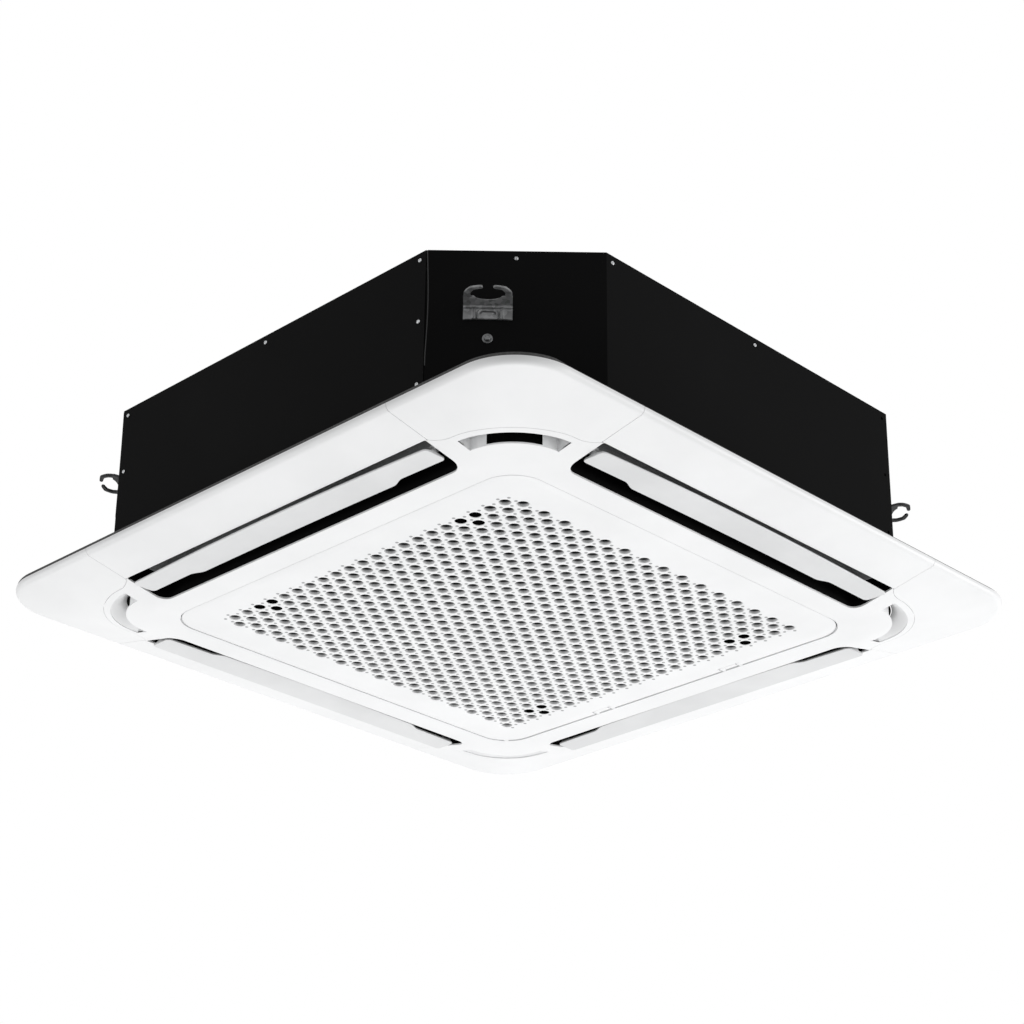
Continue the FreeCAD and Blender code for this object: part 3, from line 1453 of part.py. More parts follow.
panel_solid = panel_form()
panel_shell = cut("PanelShell", panel_solid, [panel_hollow()])
panel_frame()
corner_covers()
outlet_gaskets()
panel_bolts()
intake_grille()
grille_studs()
grille_hinge_pins()
grille_latches()
filter_screen()
louvers()
casing()
airway()
coil()
pipes()
fan()
drain()
controls()
doc.recompute()

for item in doc.Objects:
    if "Invalid" in item.State or "Error" in item.State:
        raise RuntimeError(f"{item.Name} did not compute")
os.makedirs("parts", exist_ok=True)
for node, thing in pieces.items():
    if thing.Shape.isNull() or not thing.Shape.isValid():
        raise RuntimeError(f"{node} is not a sound shape")
    thing.Shape.exportStep(f"parts/{node}.step")
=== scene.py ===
import json
import math
import bmesh
import bpy
import numpy as np
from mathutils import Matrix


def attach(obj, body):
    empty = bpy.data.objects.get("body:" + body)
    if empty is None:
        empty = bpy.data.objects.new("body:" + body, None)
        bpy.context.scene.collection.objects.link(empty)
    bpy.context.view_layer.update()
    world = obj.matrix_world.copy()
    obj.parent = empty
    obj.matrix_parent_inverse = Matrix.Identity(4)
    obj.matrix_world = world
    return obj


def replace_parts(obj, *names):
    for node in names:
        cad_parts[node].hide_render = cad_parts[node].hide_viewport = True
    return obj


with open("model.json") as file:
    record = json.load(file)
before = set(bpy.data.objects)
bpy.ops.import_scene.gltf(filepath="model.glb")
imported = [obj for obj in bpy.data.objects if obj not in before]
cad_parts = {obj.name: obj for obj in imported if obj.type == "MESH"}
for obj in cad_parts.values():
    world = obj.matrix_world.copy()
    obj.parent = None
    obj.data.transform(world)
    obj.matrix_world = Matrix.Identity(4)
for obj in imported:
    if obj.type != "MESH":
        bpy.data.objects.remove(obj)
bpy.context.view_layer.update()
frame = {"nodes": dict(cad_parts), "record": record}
nodes = frame["nodes"]
scene = bpy.context.scene
MM = 0.001
QUARTER_TURN = math.pi / 2
QUARTERS = range(4)
CORNERS = ("front_right", "back_right", "back_left", "front_left")
SIDES = ("front", "right", "back", "left")

# Levels and plan sizes of the unit in millimetres, measured from the hanger lugs
CEILING = -143.0
FACE = -177.0
CASING_BASE = -137.0
CASING_HALF = 427.5
CHAMFER_LEG = 146.0
WIDE_LEG = 174.0
FOOT_HALF = 351.0
FOOT_BEND = 60.0
FOOT_SOFT = 3.0
EDGE_HALF = 466.0
EDGE_RADIUS = 8.4
RIM_CENTRE = 395.0
RIM_FLANGE = (-10.0, -24.0)
SLOPE = 0.20968
BEND_SHARE = 14.0 / 118.0
BEND_BASE = FOOT_BEND - BEND_SHARE * FOOT_HALF
SLOT_INNER = 350.0
SLOT_OUTER = 411.0
SLOT_HALF = 270.0
SLOT_BEND = 17.0
SLOT_NOOK = 2.5
CORNER = 300.0
OUTLET_INNER = 70.0
OUTLET_MIDDLE = 80.0
OUTLET_OUTER = 90.0
SEAM = 98.5
SEAM_GAP = 0.5
COVER_START = SLOT_HALF + 2.2
OPENING_HALF = 313.0
OPENING_BEND = 44.4
SKIN = 2.2
NICK = 0.5

# Welding of points that meet: cells to a millimetre, and a shift that keeps round numbers off cell edges
WELD_CELLS = 50.0
WELD_SHIFT = 0.21
BEVEL_ANGLE = 40.0


# Meshes from arrays
def quads_of(rows, columns, wrap=False):
    """Quads of a grid of rows by columns of points; wrap joins the last column to the first."""
    index = np.arange(rows * columns).reshape(rows, columns)
    right = np.roll(index, -1, axis=1)
    quads = np.stack([index[:-1], right[:-1], right[1:], index[1:]], axis=-1)
    if not wrap:
        quads = quads[:, :-1]
    return quads.reshape(-1, 4)


class Surface:
    """Collects grids of points in millimetres and joins them into one mesh."""

    def __init__(self):
        self.points = []
        self.faces = []
        self.count = 0

    def copies(self, points, wrap=False, keep=None, flip=False):
        """Add many alike grids, as an array of copies, rows, columns and coordinates; keep picks quads."""
        amount, rows, columns = points.shape[:3]
        quads = quads_of(rows, columns, wrap)
        if keep is not None:
            quads = quads[np.asarray(keep).reshape(-1)]
        if flip:
            quads = quads[:, ::-1]
        steps = self.count + np.arange(amount)[:, None, None] * rows * columns
        self.points.append(points.reshape(-1, 3))
        self.faces.append((quads[None] + steps).reshape(-1, 4))
        self.count += amount * rows * columns
        return self

    def grid(self, points, wrap=False, keep=None, flip=False):
        """Add one grid of rows, columns and coordinates."""
        return self.copies(points[None], wrap, keep, flip)

    def sweep(self, points, wrap=True):
        """Add a closed profile (columns) carried along a path (rows); open paths get flat ends."""
        self.grid(points, True)
        if not wrap:
            for end in (points[0], points[-1]):
                middle = np.broadcast_to(end.mean(axis=0), end.shape)
                self.grid(np.stack([end, middle]), True)
        return self

    def trough(self, points, keep=None):
        """Add an open trough, each row running across it, with both ends closed."""
        half = points.shape[1] // 2
        self.grid(points, keep=keep)
        for row, back in ((points[0], True), (points[-1], False)):
            self.grid(np.stack([row[:half], row[:half - 1:-1]]), flip=back)
        return self

    def object(self, name, slot, finish="", body="unit", smooth=35.0, outward=False, bevel=0.0, skin=0.0):
        """Make the object: weld points, drop empty quads, shade smooth up to an angle, finish the edges."""
        points = np.concatenate(self.points)
        faces = np.concatenate(self.faces)
        key = np.round(points * WELD_CELLS + WELD_SHIFT).astype(np.int64)
        first, where = np.unique(key, axis=0, return_index=True, return_inverse=True)[1:]
        points = points[first]
        faces = where.reshape(-1)[faces]
        same = faces == np.roll(faces, -1, axis=1)
        whole = faces[same.sum(axis=1) == 0]
        split = same.sum(axis=1) == 1
        three = faces[split][~same[split]].reshape(-1, 3)
        mesh = bpy.data.meshes.new(name)
        mesh.from_pydata((points * MM).tolist(), [], whole.tolist() + three.tolist())
        mesh.validate()
        if outward:
            shape = bmesh.new()
            shape.from_mesh(mesh)
            bmesh.ops.recalc_face_normals(shape, faces=shape.faces)
            shape.to_mesh(mesh)
            shape.free()
        mesh.shade_smooth()
        mesh.set_sharp_from_angle(angle=math.radians(smooth))
        thing = bpy.data.objects.new(name, mesh)
        scene.collection.objects.link(thing)
        mesh.materials.append(FINISHES[finish or slot])
        if skin:
            wall = thing.modifiers.new("wall", "SOLIDIFY")
            wall.thickness = skin * MM
            wall.offset = -1.0
            wall.use_quality_normals = True
        if bevel:
            edge = thing.modifiers.new("edge", "BEVEL")
            edge.width = bevel * MM
            edge.segments = 3
            edge.limit_method = "ANGLE"
            edge.angle_limit = math.radians(BEVEL_ANGLE)
            edge.harden_normals = True
        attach(thing, body)
        return thing


def quarter(points, number):
    """Points turned about the plan's centre by a number of quarter turns."""
    c, s = ((1, 0), (0, 1), (-1, 0), (0, -1))[number % 4]
    x, y = points[..., 0], points[..., 1]
    return np.stack([c * x - s * y, s * x + c * y, points[..., 2]], axis=-1)


def stack(x, y, z):
    """Points from three coordinates that are stretched to one shape."""
    return np.stack(np.broadcast_arrays(x, y, z), axis=-1)


def smooth_step(value, low, high):
    """A soft rise from nought to one between two values."""
    t = np.clip((value - low) / (high - low), 0.0, 1.0)
    return t * t * (3.0 - 2.0 * t)


def swell(away, width):
    """A soft ridge's height: one on its line, and a bell curve of that width to both sides."""
    return np.exp(-(away / width) ** 2)


def level(u, q):
    """The panel's face level: flat in the middle, then a slope on rounded squares from foot to rim."""
    a, b = np.abs(u), np.abs(q)
    big = np.maximum(a, b)
    m = 1.0 - BEND_SHARE
    one = 2.0 * m * m - BEND_SHARE ** 2
    two = -2.0 * m * (a + b + 2.0 * BEND_BASE) - 2.0 * BEND_SHARE * BEND_BASE
    three = (a + BEND_BASE) ** 2 + (b + BEND_BASE) ** 2 - BEND_BASE ** 2
    root = (-two - np.sqrt(np.maximum(two * two - 4.0 * one * three, 0.0))) / (2.0 * one)
    half = np.where(np.minimum(a, b) > m * big - BEND_BASE, root, big)
    rise = half - FOOT_HALF
    return FACE + SLOPE * 0.5 * (rise + np.sqrt(rise * rise + FOOT_SOFT ** 2))


def lift(u, q):
    """Plan points of the front side and its right corner, put on the panel's face."""
    return stack(u, -q, level(u, q))


# Panel skin: the frame with its slots and corner outlets, and the four corner covers
BEND_FROM = 29.34
BEND_TO = 60.66
ARC = np.r_[np.linspace(0, BEND_FROM, 9), np.linspace(BEND_FROM, BEND_TO, 25), np.linspace(BEND_TO, 90, 9)]
ARC = np.radians(np.unique(ARC))
STRIP = np.linspace(SLOT_HALF, CORNER, 7)


def corner_points(r, strip=STRIP):
    """Plan points at distances r (rows) from a corner's centre line: a strip, a quarter, a strip."""
    n = len(strip)
    first = r[:, :n]
    round_ = r[:, n:-n]
    last = r[:, -n:]
    run = np.broadcast_to(strip, first.shape)
    u = np.concatenate([run, CORNER + round_ * np.sin(ARC), CORNER + last], axis=1)
    q = np.concatenate([CORNER + first, CORNER + round_ * np.cos(ARC), run[:, ::-1]], axis=1)
    return u, q


def both_ends(strip_values, arc_values):
    """Values along a corner's strip, quarter and mirrored strip."""
    return np.concatenate([strip_values, np.broadcast_to(arc_values, ARC.shape), strip_values[::-1]])


def opening_edge(u):
    """Where the intake opening's rounded edge lies at a distance along a side."""
    start = OPENING_HALF - OPENING_BEND
    over = np.clip(np.abs(u) - start, 0.0, OPENING_BEND)
    return start + np.sqrt(OPENING_BEND ** 2 - over ** 2)


def seam_distance(strip):
    """How far out a cover's seam lies along a strip: from the slot's corner it eases into the arc."""
    back = (CORNER - strip) / (CORNER - SLOT_HALF)
    return SEAM + (SLOT_OUTER - CORNER - SEAM) * back ** 2


def rim_rows():
    """The rim's section as steps outward and levels: a rounded edge, the side and the back flange."""
    start = math.atan(SLOPE)
    middle = FACE + SLOPE * (EDGE_HALF - FOOT_HALF) + EDGE_RADIUS * math.sqrt(1.0 + SLOPE ** 2)
    turn = np.linspace(start, QUARTER_TURN, 9)
    out = np.r_[EDGE_RADIUS * np.sin(turn), EDGE_RADIUS, EDGE_RADIUS - NICK, RIM_FLANGE]
    high = np.r_[middle - EDGE_RADIUS * np.cos(turn), CEILING - NICK, CEILING, CEILING, CEILING]
    return out, high


def frame_skin():
    """The frame: strips inside and outside the slots, rounded slot ends, and fields round the outlets."""
    skin = Surface()
    out, high = rim_rows()
    inner_run, outer_run = 220.0, 250.0
    slope_steps = (425.0, 440.0, 455.0, EDGE_HALF - 2.0)
    outlet_foot = 62.0
    outlet_rows = slice(6, 8)
    bend = SLOT_HALF - SLOT_BEND + SLOT_BEND * np.sin(np.linspace(0.0, QUARTER_TURN, 8))
    along = np.r_[-bend[::-1], np.linspace(-inner_run, inner_run, 23), bend]
    share = np.linspace(0.0, 1.0, 5)[:, None]
    inner = opening_edge(along)
    inner_q = inner + (SLOT_INNER - inner) * share
    nook = SLOT_HALF - SLOT_NOOK + SLOT_NOOK * np.sin(np.linspace(0.0, QUARTER_TURN, 6))
    wide = np.r_[-COVER_START, -nook[::-1], np.linspace(-outer_run, outer_run, 26), nook, COVER_START]
    outer_q = np.r_[SLOT_OUTER, slope_steps]
    slope_rows = lift(wide[None], outer_q[:, None])
    edge_rows = stack(wide[None], -(EDGE_HALF + out)[:, None], high[:, None])
    arc_q = SLOT_INNER + SLOT_BEND - np.sqrt(SLOT_BEND ** 2 - (bend - SLOT_HALF + SLOT_BEND) ** 2)
    fill_q = np.stack([np.full_like(bend, SLOT_INNER), arc_q])
    nook_q = SLOT_OUTER - SLOT_NOOK + np.sqrt(SLOT_NOOK ** 2 - (nook - SLOT_HALF + SLOT_NOOK) ** 2)
    nook_q = np.stack([nook_q, np.full_like(nook, SLOT_OUTER)])
    zero = both_ends(opening_edge(STRIP) - CORNER, 0.0)
    seam = both_ends(seam_distance(STRIP), SEAM)
    near = zero + (SLOT_INNER - CORNER - zero) * share
    fixed = np.array([outlet_foot, OUTLET_INNER, OUTLET_MIDDLE, OUTLET_OUTER])[:, None] + 0.0 * zero
    outside = OUTLET_OUTER + (seam - OUTLET_OUTER) * np.array([[0.5], [1.0]])
    rows = np.concatenate([near, fixed, outside])
    u, q = corner_points(rows)
    keep = np.ones((len(rows) - 1, rows.shape[1] - 1), bool)
    keep[outlet_rows, len(STRIP):-len(STRIP)] = False
    for number in QUARTERS:
        skin.grid(quarter(lift(along[None], inner_q), number))
        skin.grid(quarter(np.concatenate([slope_rows, edge_rows]), number))
        for end, end_q in ((bend, fill_q), (nook, nook_q)):
            skin.grid(quarter(lift(end[None], end_q), number))
            skin.grid(quarter(lift(-end[None, ::-1], end_q[:, ::-1]), number))
        skin.grid(quarter(lift(u, q), number), keep=keep)
    return skin.object("panel_skin", "panel_white", bevel=0.7, skin=SKIN)


def corner_cover(number):
    """A corner cover: from the seam out over the slope, round the rim and back along the ceiling."""
    strip = np.r_[COVER_START + SEAM_GAP, STRIP[1:]]
    start = both_ends(seam_distance(strip), SEAM) + SEAM_GAP
    offset = RIM_CENTRE - CORNER
    radius = EDGE_HALF - RIM_CENTRE
    lean = offset * (np.sin(ARC) + np.cos(ARC))
    curve = lean + np.sqrt(np.maximum(lean ** 2 - 2.0 * offset ** 2 + radius ** 2, 0.0))
    straight = (EDGE_HALF - CORNER) / np.maximum(np.sin(ARC), np.cos(ARC))
    bent = (ARC > math.radians(BEND_FROM)) & (ARC < math.radians(BEND_TO))
    end = both_ends(np.full(len(strip), EDGE_HALF - CORNER), np.where(bent, curve, straight))
    share = np.array([0.0, 0.03, 0.25, 0.5, 0.75, 0.97])[:, None]
    u, q = corner_points(start + (end - start) * share, strip)
    edge_u, edge_q = corner_points(end[None], strip)
    du = np.maximum(edge_u - RIM_CENTRE, 0.0)
    dq = np.maximum(edge_q - RIM_CENTRE, 0.0)
    size = np.hypot(du, dq)
    out, high = rim_rows()
    edge = stack(edge_u + du / size * out[:, None], -(edge_q + dq / size * out[:, None]), high[:, None])
    skin = Surface().grid(quarter(np.concatenate([lift(u, q), edge]), number))
    name = f"corner_cover_{CORNERS[number]}_skin"
    return skin.object(name, "panel_white", bevel=0.5, skin=SKIN)


def outlet_pocket(number):
    """A corner outlet: a ramp that climbs from the outer edge to an upright inner wall, lower towards both
    ends, with a mouth in the middle of the wall and a near-black patch behind it as painted shade."""
    mouth_half, climb_high, throat_deep = 36.0, 14.0, 3.0
    under, foot_gap, lip_gap = 0.7, 0.7, 1.0
    side_steps, mouth_steps = 13, 17
    middle = math.pi / 4
    half = math.asin(mouth_half / OUTLET_MIDDLE)
    turn = np.r_[np.linspace(0.0, middle - half, side_steps),
                 np.linspace(middle - half, middle + half, mouth_steps),
                 np.linspace(middle + half, QUARTER_TURN, side_steps)][:, None]
    low, high = OUTLET_INNER - under, OUTLET_OUTER + under
    ramp_r = [high, 85.0, OUTLET_MIDDLE, 75.0, low + 1.0]
    r = np.array(ramp_r + [low, low, low])[None]
    u, q = CORNER + r * np.sin(turn), CORNER + r * np.cos(turn)
    foot = level(CORNER + high * np.sin(turn), CORNER + high * np.cos(turn)) + foot_gap
    lip = level(CORNER + low * np.sin(turn), CORNER + low * np.cos(turn)) + lip_gap
    reach = 0.8 + 0.2 * smooth_step(np.minimum(turn, QUARTER_TURN - turn), 0.0, middle - half)
    climb = np.array([0.0, 0.26, 0.52, 0.78, 1.0, 0.95, 0.5, 0.0])[None]
    roof = foot + climb_high * reach
    on_ramp = np.arange(r.size)[None] < len(ramp_r)
    z = np.where(on_ramp, foot + (roof - foot) * climb, lip + (roof - lip) * climb)
    channel = quarter(stack(u, -q, z), number)
    mouth = np.zeros((len(turn) - 1, r.size - 1), bool)
    mouth[side_steps:side_steps + mouth_steps - 1, len(ramp_r) - 1:] = True
    ramp = Surface().trough(channel, ~mouth)
    # The ramp's slightly darker white is painted shade of the recess
    ramp.object(f"corner_outlet_{CORNERS[number]}_ramp", "panel_white", "pocket_grey")
    # Painted shade: a near-black patch just behind the mouth in the wall stands in for the dark opening
    at_mouth = slice(side_steps, side_steps + mouth_steps)
    r = low - np.array([0.0, throat_deep, throat_deep, 0.0])[None]
    turn, top, base = turn[at_mouth], roof[at_mouth] - 0.2, lip[at_mouth]
    u, q = CORNER + r * np.sin(turn), CORNER + r * np.cos(turn)
    throat = quarter(stack(u, -q, np.concatenate([top, top, base, base], axis=1)), number)
    mouth_shade_piece = Surface().trough(throat)
    mouth_shade_piece.object(f"corner_outlet_{CORNERS[number]}_mouth", "casing_black", "duct_black")


def slot_lining(number):
    """A near-black duct lining above a slot, painted shade: the slot's outline, a little wider, carried up to
    the casing.
    """
    wider, inner_run, outer_corner, above = 0.6, 200.0, 390.0, 1.0
    turn = np.linspace(0.0, QUARTER_TURN, 7)
    wide, low, high = SLOT_HALF + wider, SLOT_INNER - wider, SLOT_OUTER + wider
    bend_u = wide - SLOT_BEND + SLOT_BEND * np.sin(turn)
    bend_q = low + SLOT_BEND - SLOT_BEND * np.cos(turn)
    inner_u = np.linspace(-inner_run, inner_run, 9)
    outer_u = np.linspace(wide, -wide, 15)
    u = np.r_[inner_u, bend_u, wide, outer_u, -bend_u[::-1]]
    q = np.r_[np.full(9, low), bend_q, outer_corner, np.full(15, high), bend_q[::-1]]
    z = np.linspace(0.0, 1.0, 4)[:, None]
    foot = level(u, q) + above
    walls = stack(u[None], -q[None], foot + (CASING_BASE - foot) * z)
    piece = Surface().grid(quarter(walls, number), True)
    return piece.object(f"outlet_duct_{SIDES[number]}", "casing_black", "duct_black", skin=2.0)


def square_path(half, bend, steps=10):
    """A rounded square's points and outward directions, anticlockwise from the front side's left end."""
    turn = np.linspace(0.0, QUARTER_TURN, steps)
    run = half - bend
    side = np.linspace(-run, run, 13)[1:-1]
    u = np.r_[side, run + bend * np.sin(turn)]
    v = np.r_[np.full(len(side), -half), -run - bend * np.cos(turn)]
    nu = np.r_[np.zeros(len(side)), np.sin(turn)]
    nv = np.r_[np.full(len(side), -1.0), -np.cos(turn)]
    points = np.concatenate([quarter(stack(u, v, 0.0), k) for k in QUARTERS])
    normals = np.concatenate([quarter(stack(nu, nv, 0.0), k) for k in QUARTERS])
    return points, normals


def carried(points, normals, section):
    """A section of steps outward and levels, carried along a path's points and outward directions."""
    rows = points[:, None] + normals[:, None] * section[None, :, :1]
    rows[..., 2] = section[None, :, 1]
    return rows


def closed(rows):
    """Rows of a path with the first one again at the end."""
    return np.concatenate([rows, rows[:1]])


def intake_wall():
    """The wall round the intake with a ledge for the panel bolts: sections carried round a rounded square,
    with short lengths between the slots that the latches reach into."""
    wall_bend, wall, ledge, soft = 46.0, 3.0, 19.0, 0.6
    points, normals = square_path(OPENING_HALF, wall_bend)
    piece = Surface()
    lip, sill, base, top, crest = -174.6, -171.9, -166.9, -164.0, -140.0
    latch_aside, latch_room, run = 150.0, 16.0, 268.0
    upper = np.array([(0.0, base), (soft - ledge, base), (-ledge, base + soft), (-ledge, top - soft),
                      (soft - ledge, top), (-soft, top), (0.0, top + soft), (0.0, crest - NICK),
                      (NICK, crest), (wall - NICK, crest), (wall, crest - NICK), (wall, base)])
    lower = np.array([(0.0, lip), (0.0, sill), (wall, sill), (wall, lip)])
    across = np.array([(0.0, sill), (0.0, base), (wall, base), (wall, sill)])
    for section in (upper, lower):
        piece.sweep(closed(carried(points, normals, section)))
    slot_from, slot_to = latch_aside - latch_room, latch_aside + latch_room
    for begin, end in ((-slot_from, slot_from), (slot_to, run), (-run, -slot_to)):
        u = np.linspace(begin, end, 6)[:, None]
        piece.sweep(stack(u, -(OPENING_HALF + across[:, 0]), across[:, 1]), False)
    rest = points[:, 1] > -OPENING_HALF + 0.01
    piece.sweep(carried(points[rest], normals[rest], across), False)
    return piece.object("intake_wall", "panel_white", outward=True)


# Grille hinge: the pin's place, and rounded ears on the frame on both sides of each knuckle
HINGE_ASIDE = (-115.0, 115.0)
PIN_OUT = 306.0
PIN_LEVEL = -173.8


def hinge_ears():
    """Two pairs of ears by the grille's back edge: a tab rounded about the pin, smaller at both faces."""
    piece = Surface()
    reach, base, near, far, edge = 2.7, 313.6, 11.5, 17.3, 0.4
    turn = np.linspace(-QUARTER_TURN, QUARTER_TURN, 13)[::-1]
    tab_out = np.r_[base, PIN_OUT - reach * np.cos(turn), base]
    tab_level = np.r_[PIN_LEVEL + reach, PIN_LEVEL + reach * np.sin(turn), PIN_LEVEL - reach]
    section = np.stack([tab_out, tab_level], axis=-1)
    centre = section.mean(axis=0)
    shrink = np.array([0.9, 1.0, 1.0, 0.9])[:, None, None]
    shape = centre + (section[None] - centre) * shrink
    for middle in HINGE_ASIDE:
        for begin, end in ((near, far), (-far, -near)):
            u = np.array([begin, begin + edge, end - edge, end])[:, None] + middle
            piece.sweep(stack(u, shape[..., 0], shape[..., 1]), False)
    return piece.object("grille_hinge_ears", "panel_white", outward=True)


# Grille: one field of holes with rounded lips, and a border out to the rounded edge
HOLE_PITCH = 24.3
ROW_PITCH = 17.67
HOLE_COLUMNS = 22
HOLE_ROWS = 30
HOLE = 7.5
CELL_STEPS = 4
FIELD_WIDE = HOLE_COLUMNS / 2.0 * HOLE_PITCH
FIELD_DEEP = HOLE_ROWS / 2.0 * ROW_PITCH
GRILLE_TOP = -171.5


def grille_plate():
    """The holed plate: every hole is a rectangle drawn in to a ring, over a lip and up a wall to the back."""
    piece = Surface()
    row = np.arange(HOLE_ROWS)
    y = ((HOLE_ROWS - 1) / 2.0 - row) * ROW_PITCH
    even = (np.arange(HOLE_COLUMNS) - (HOLE_COLUMNS - 1) / 2.0) * HOLE_PITCH
    odd = (np.arange(HOLE_COLUMNS - 1) - (HOLE_COLUMNS - 2) / 2.0) * HOLE_PITCH
    centres = np.concatenate([np.stack(np.meshgrid(even, y[0::2]), -1).reshape(-1, 2),
                              np.stack(np.meshgrid(odd, y[1::2]), -1).reshape(-1, 2)])
    w, h = HOLE_PITCH / 2.0, ROW_PITCH / 2.0
    f = np.linspace(-1.0, 1.0, CELL_STEPS + 1)
    edge = np.concatenate([stack(f * w, -h, 0.0), stack(w, f[1:] * h, 0.0), stack(-f[1:] * w, h, 0.0),
                           stack(-w, -f[1:-1] * h, 0.0)])[:, :2]
    turn = np.arctan2(edge[:, 1] / h, edge[:, 0] / w)
    ring = np.stack([np.cos(turn), np.sin(turn)], axis=-1)
    rings = [(edge, FACE), (ring * (HOLE + 0.7), FACE), (ring * (HOLE + 0.15), FACE + 0.3),
             (ring * HOLE, FACE + 0.9), (ring * HOLE, GRILLE_TOP), (edge, GRILLE_TOP)]
    cell = np.stack([stack(p[:, 0], p[:, 1], z) for p, z in rings])
    shift = np.concatenate([centres, np.zeros((len(centres), 1))], axis=1)
    piece.copies(cell[None] + shift[:, None, None], True, flip=True)
    for side in (-1.0, 1.0):
        fx = side * np.linspace(FIELD_WIDE - w, FIELD_WIDE, 3)
        flat = stack(fx[None], (f * h)[:, None], 0.0)
        many = flat[None] + stack(0.0, y[1::2], 0.0)[:, None, None]
        piece.copies(many + [0.0, 0.0, FACE], flip=side > 0)
        piece.copies(many + [0.0, 0.0, GRILLE_TOP], flip=side < 0)
    border(piece)
    for middle in HINGE_ASIDE:
        knuckle(piece, middle)
    return piece.object("intake_grille_plate", "panel_white", "grille_white", "grille", 50.0, True)


def border(piece):
    """The grille's border: from the hole field out to a rounded square, over its lip and back. The edge is
    a little nearer the frame at the front and right, and notched at the back for the hinges."""
    start, back_start, near, far, back_edge = 267.0, 266.0, 312.2, 311.0, 310.0
    notch_half, notch_edge = 18.0, 301.5
    turn = np.linspace(0.0, QUARTER_TURN, 13)
    along = np.linspace(-FIELD_WIDE, FIELD_WIDE, CELL_STEPS * HOLE_COLUMNS + 1)
    side = np.linspace(-FIELD_DEEP, FIELD_DEEP, CELL_STEPS * HOLE_ROWS + 1)
    side_end = np.clip(side, -start, back_start)
    notch = np.array([aside + half for aside in HINGE_ASIDE for half in (-notch_half, notch_half)])
    back = np.sort(np.r_[along, notch, notch])[::-1]
    order = np.cumsum(np.isin(back, notch))
    inside = (order % 4 == 2) | (order % 4 == 3)
    inside &= np.abs(np.abs(back) - HINGE_ASIDE[1]) < notch_half + 0.01
    back_q = np.where(inside, notch_edge, back_edge)

    def side_part(x, y, outer_x, outer_y):
        """A stretch of border: its inner and its outer points."""
        return np.broadcast_arrays(x, y, outer_x, outer_y)

    def corner_part(sx, sy, first, wide_bend, deep_bend):
        """A corner: one inner point, and a quarter of an ellipse outside it."""
        cy = sy * start if sy < 0 else back_start
        outer_x = sx * start + wide_bend * np.cos(first + turn)
        return side_part(sx * FIELD_WIDE, sy * FIELD_DEEP, outer_x, cy + deep_bend * np.sin(first + turn))

    near_bend, far_bend, back_bend = near - start, far - start, back_edge - back_start
    parts = [
        side_part(along, -FIELD_DEEP, np.clip(along, -start, start), -near),
        corner_part(1, -1, -QUARTER_TURN, near_bend, near_bend),
        side_part(FIELD_WIDE, side, near, side_end),
        corner_part(1, 1, 0.0, near_bend, back_bend),
        side_part(back, FIELD_DEEP, np.clip(back, -start, start), back_q),
        corner_part(-1, 1, QUARTER_TURN, far_bend, back_bend),
        side_part(-FIELD_WIDE, side[::-1], -far, side_end[::-1]),
        corner_part(-1, -1, math.pi, far_bend, near_bend),
    ]
    ix, iy, ox, oy = (np.concatenate(column) for column in zip(*parts))
    way = np.stack([ix - ox, iy - oy], axis=-1)
    way /= np.linalg.norm(way, axis=-1, keepdims=True)
    rows = [stack(ix, iy, FACE)]
    for inset, rise in ((14.0, 0.0), (0.8, 0.0), (0.25, 0.18), (0.0, 0.7)):
        rows.append(stack(ox + inset * way[:, 0], oy + inset * way[:, 1], FACE + rise))
    rows.append(stack(ox, oy, GRILLE_TOP))
    rows.append(stack(ix, iy, GRILLE_TOP))
    piece.grid(np.stack(rows), True)


def knuckle(piece, middle):
    """A hinge knuckle: an arm in the notch that ends in a barrel round the pin."""
    root, end, half, barrel, start = 301.4, 310.0, 11.0, 2.95, 0.4
    turn = np.linspace(start, math.pi - start, 9)
    out = np.r_[root, end - 1.4, end - 0.4, end, end, PIN_OUT + barrel * np.cos(turn), root]
    high = np.r_[FACE, FACE, FACE + 0.4, FACE + 1.4, GRILLE_TOP - 0.4, PIN_LEVEL + barrel * np.sin(turn),
                 GRILLE_TOP]
    piece.sweep(stack(middle + np.array([-half, half])[:, None], out[None], high[None]), False)


# Louvers: a thin section with a rib along the pivot, bowed along its length and stepped back near its ends
LOUVER_OUT = 389.2
LOUVER_LEVEL = -161.6
LOUVER_HALF = 264.0


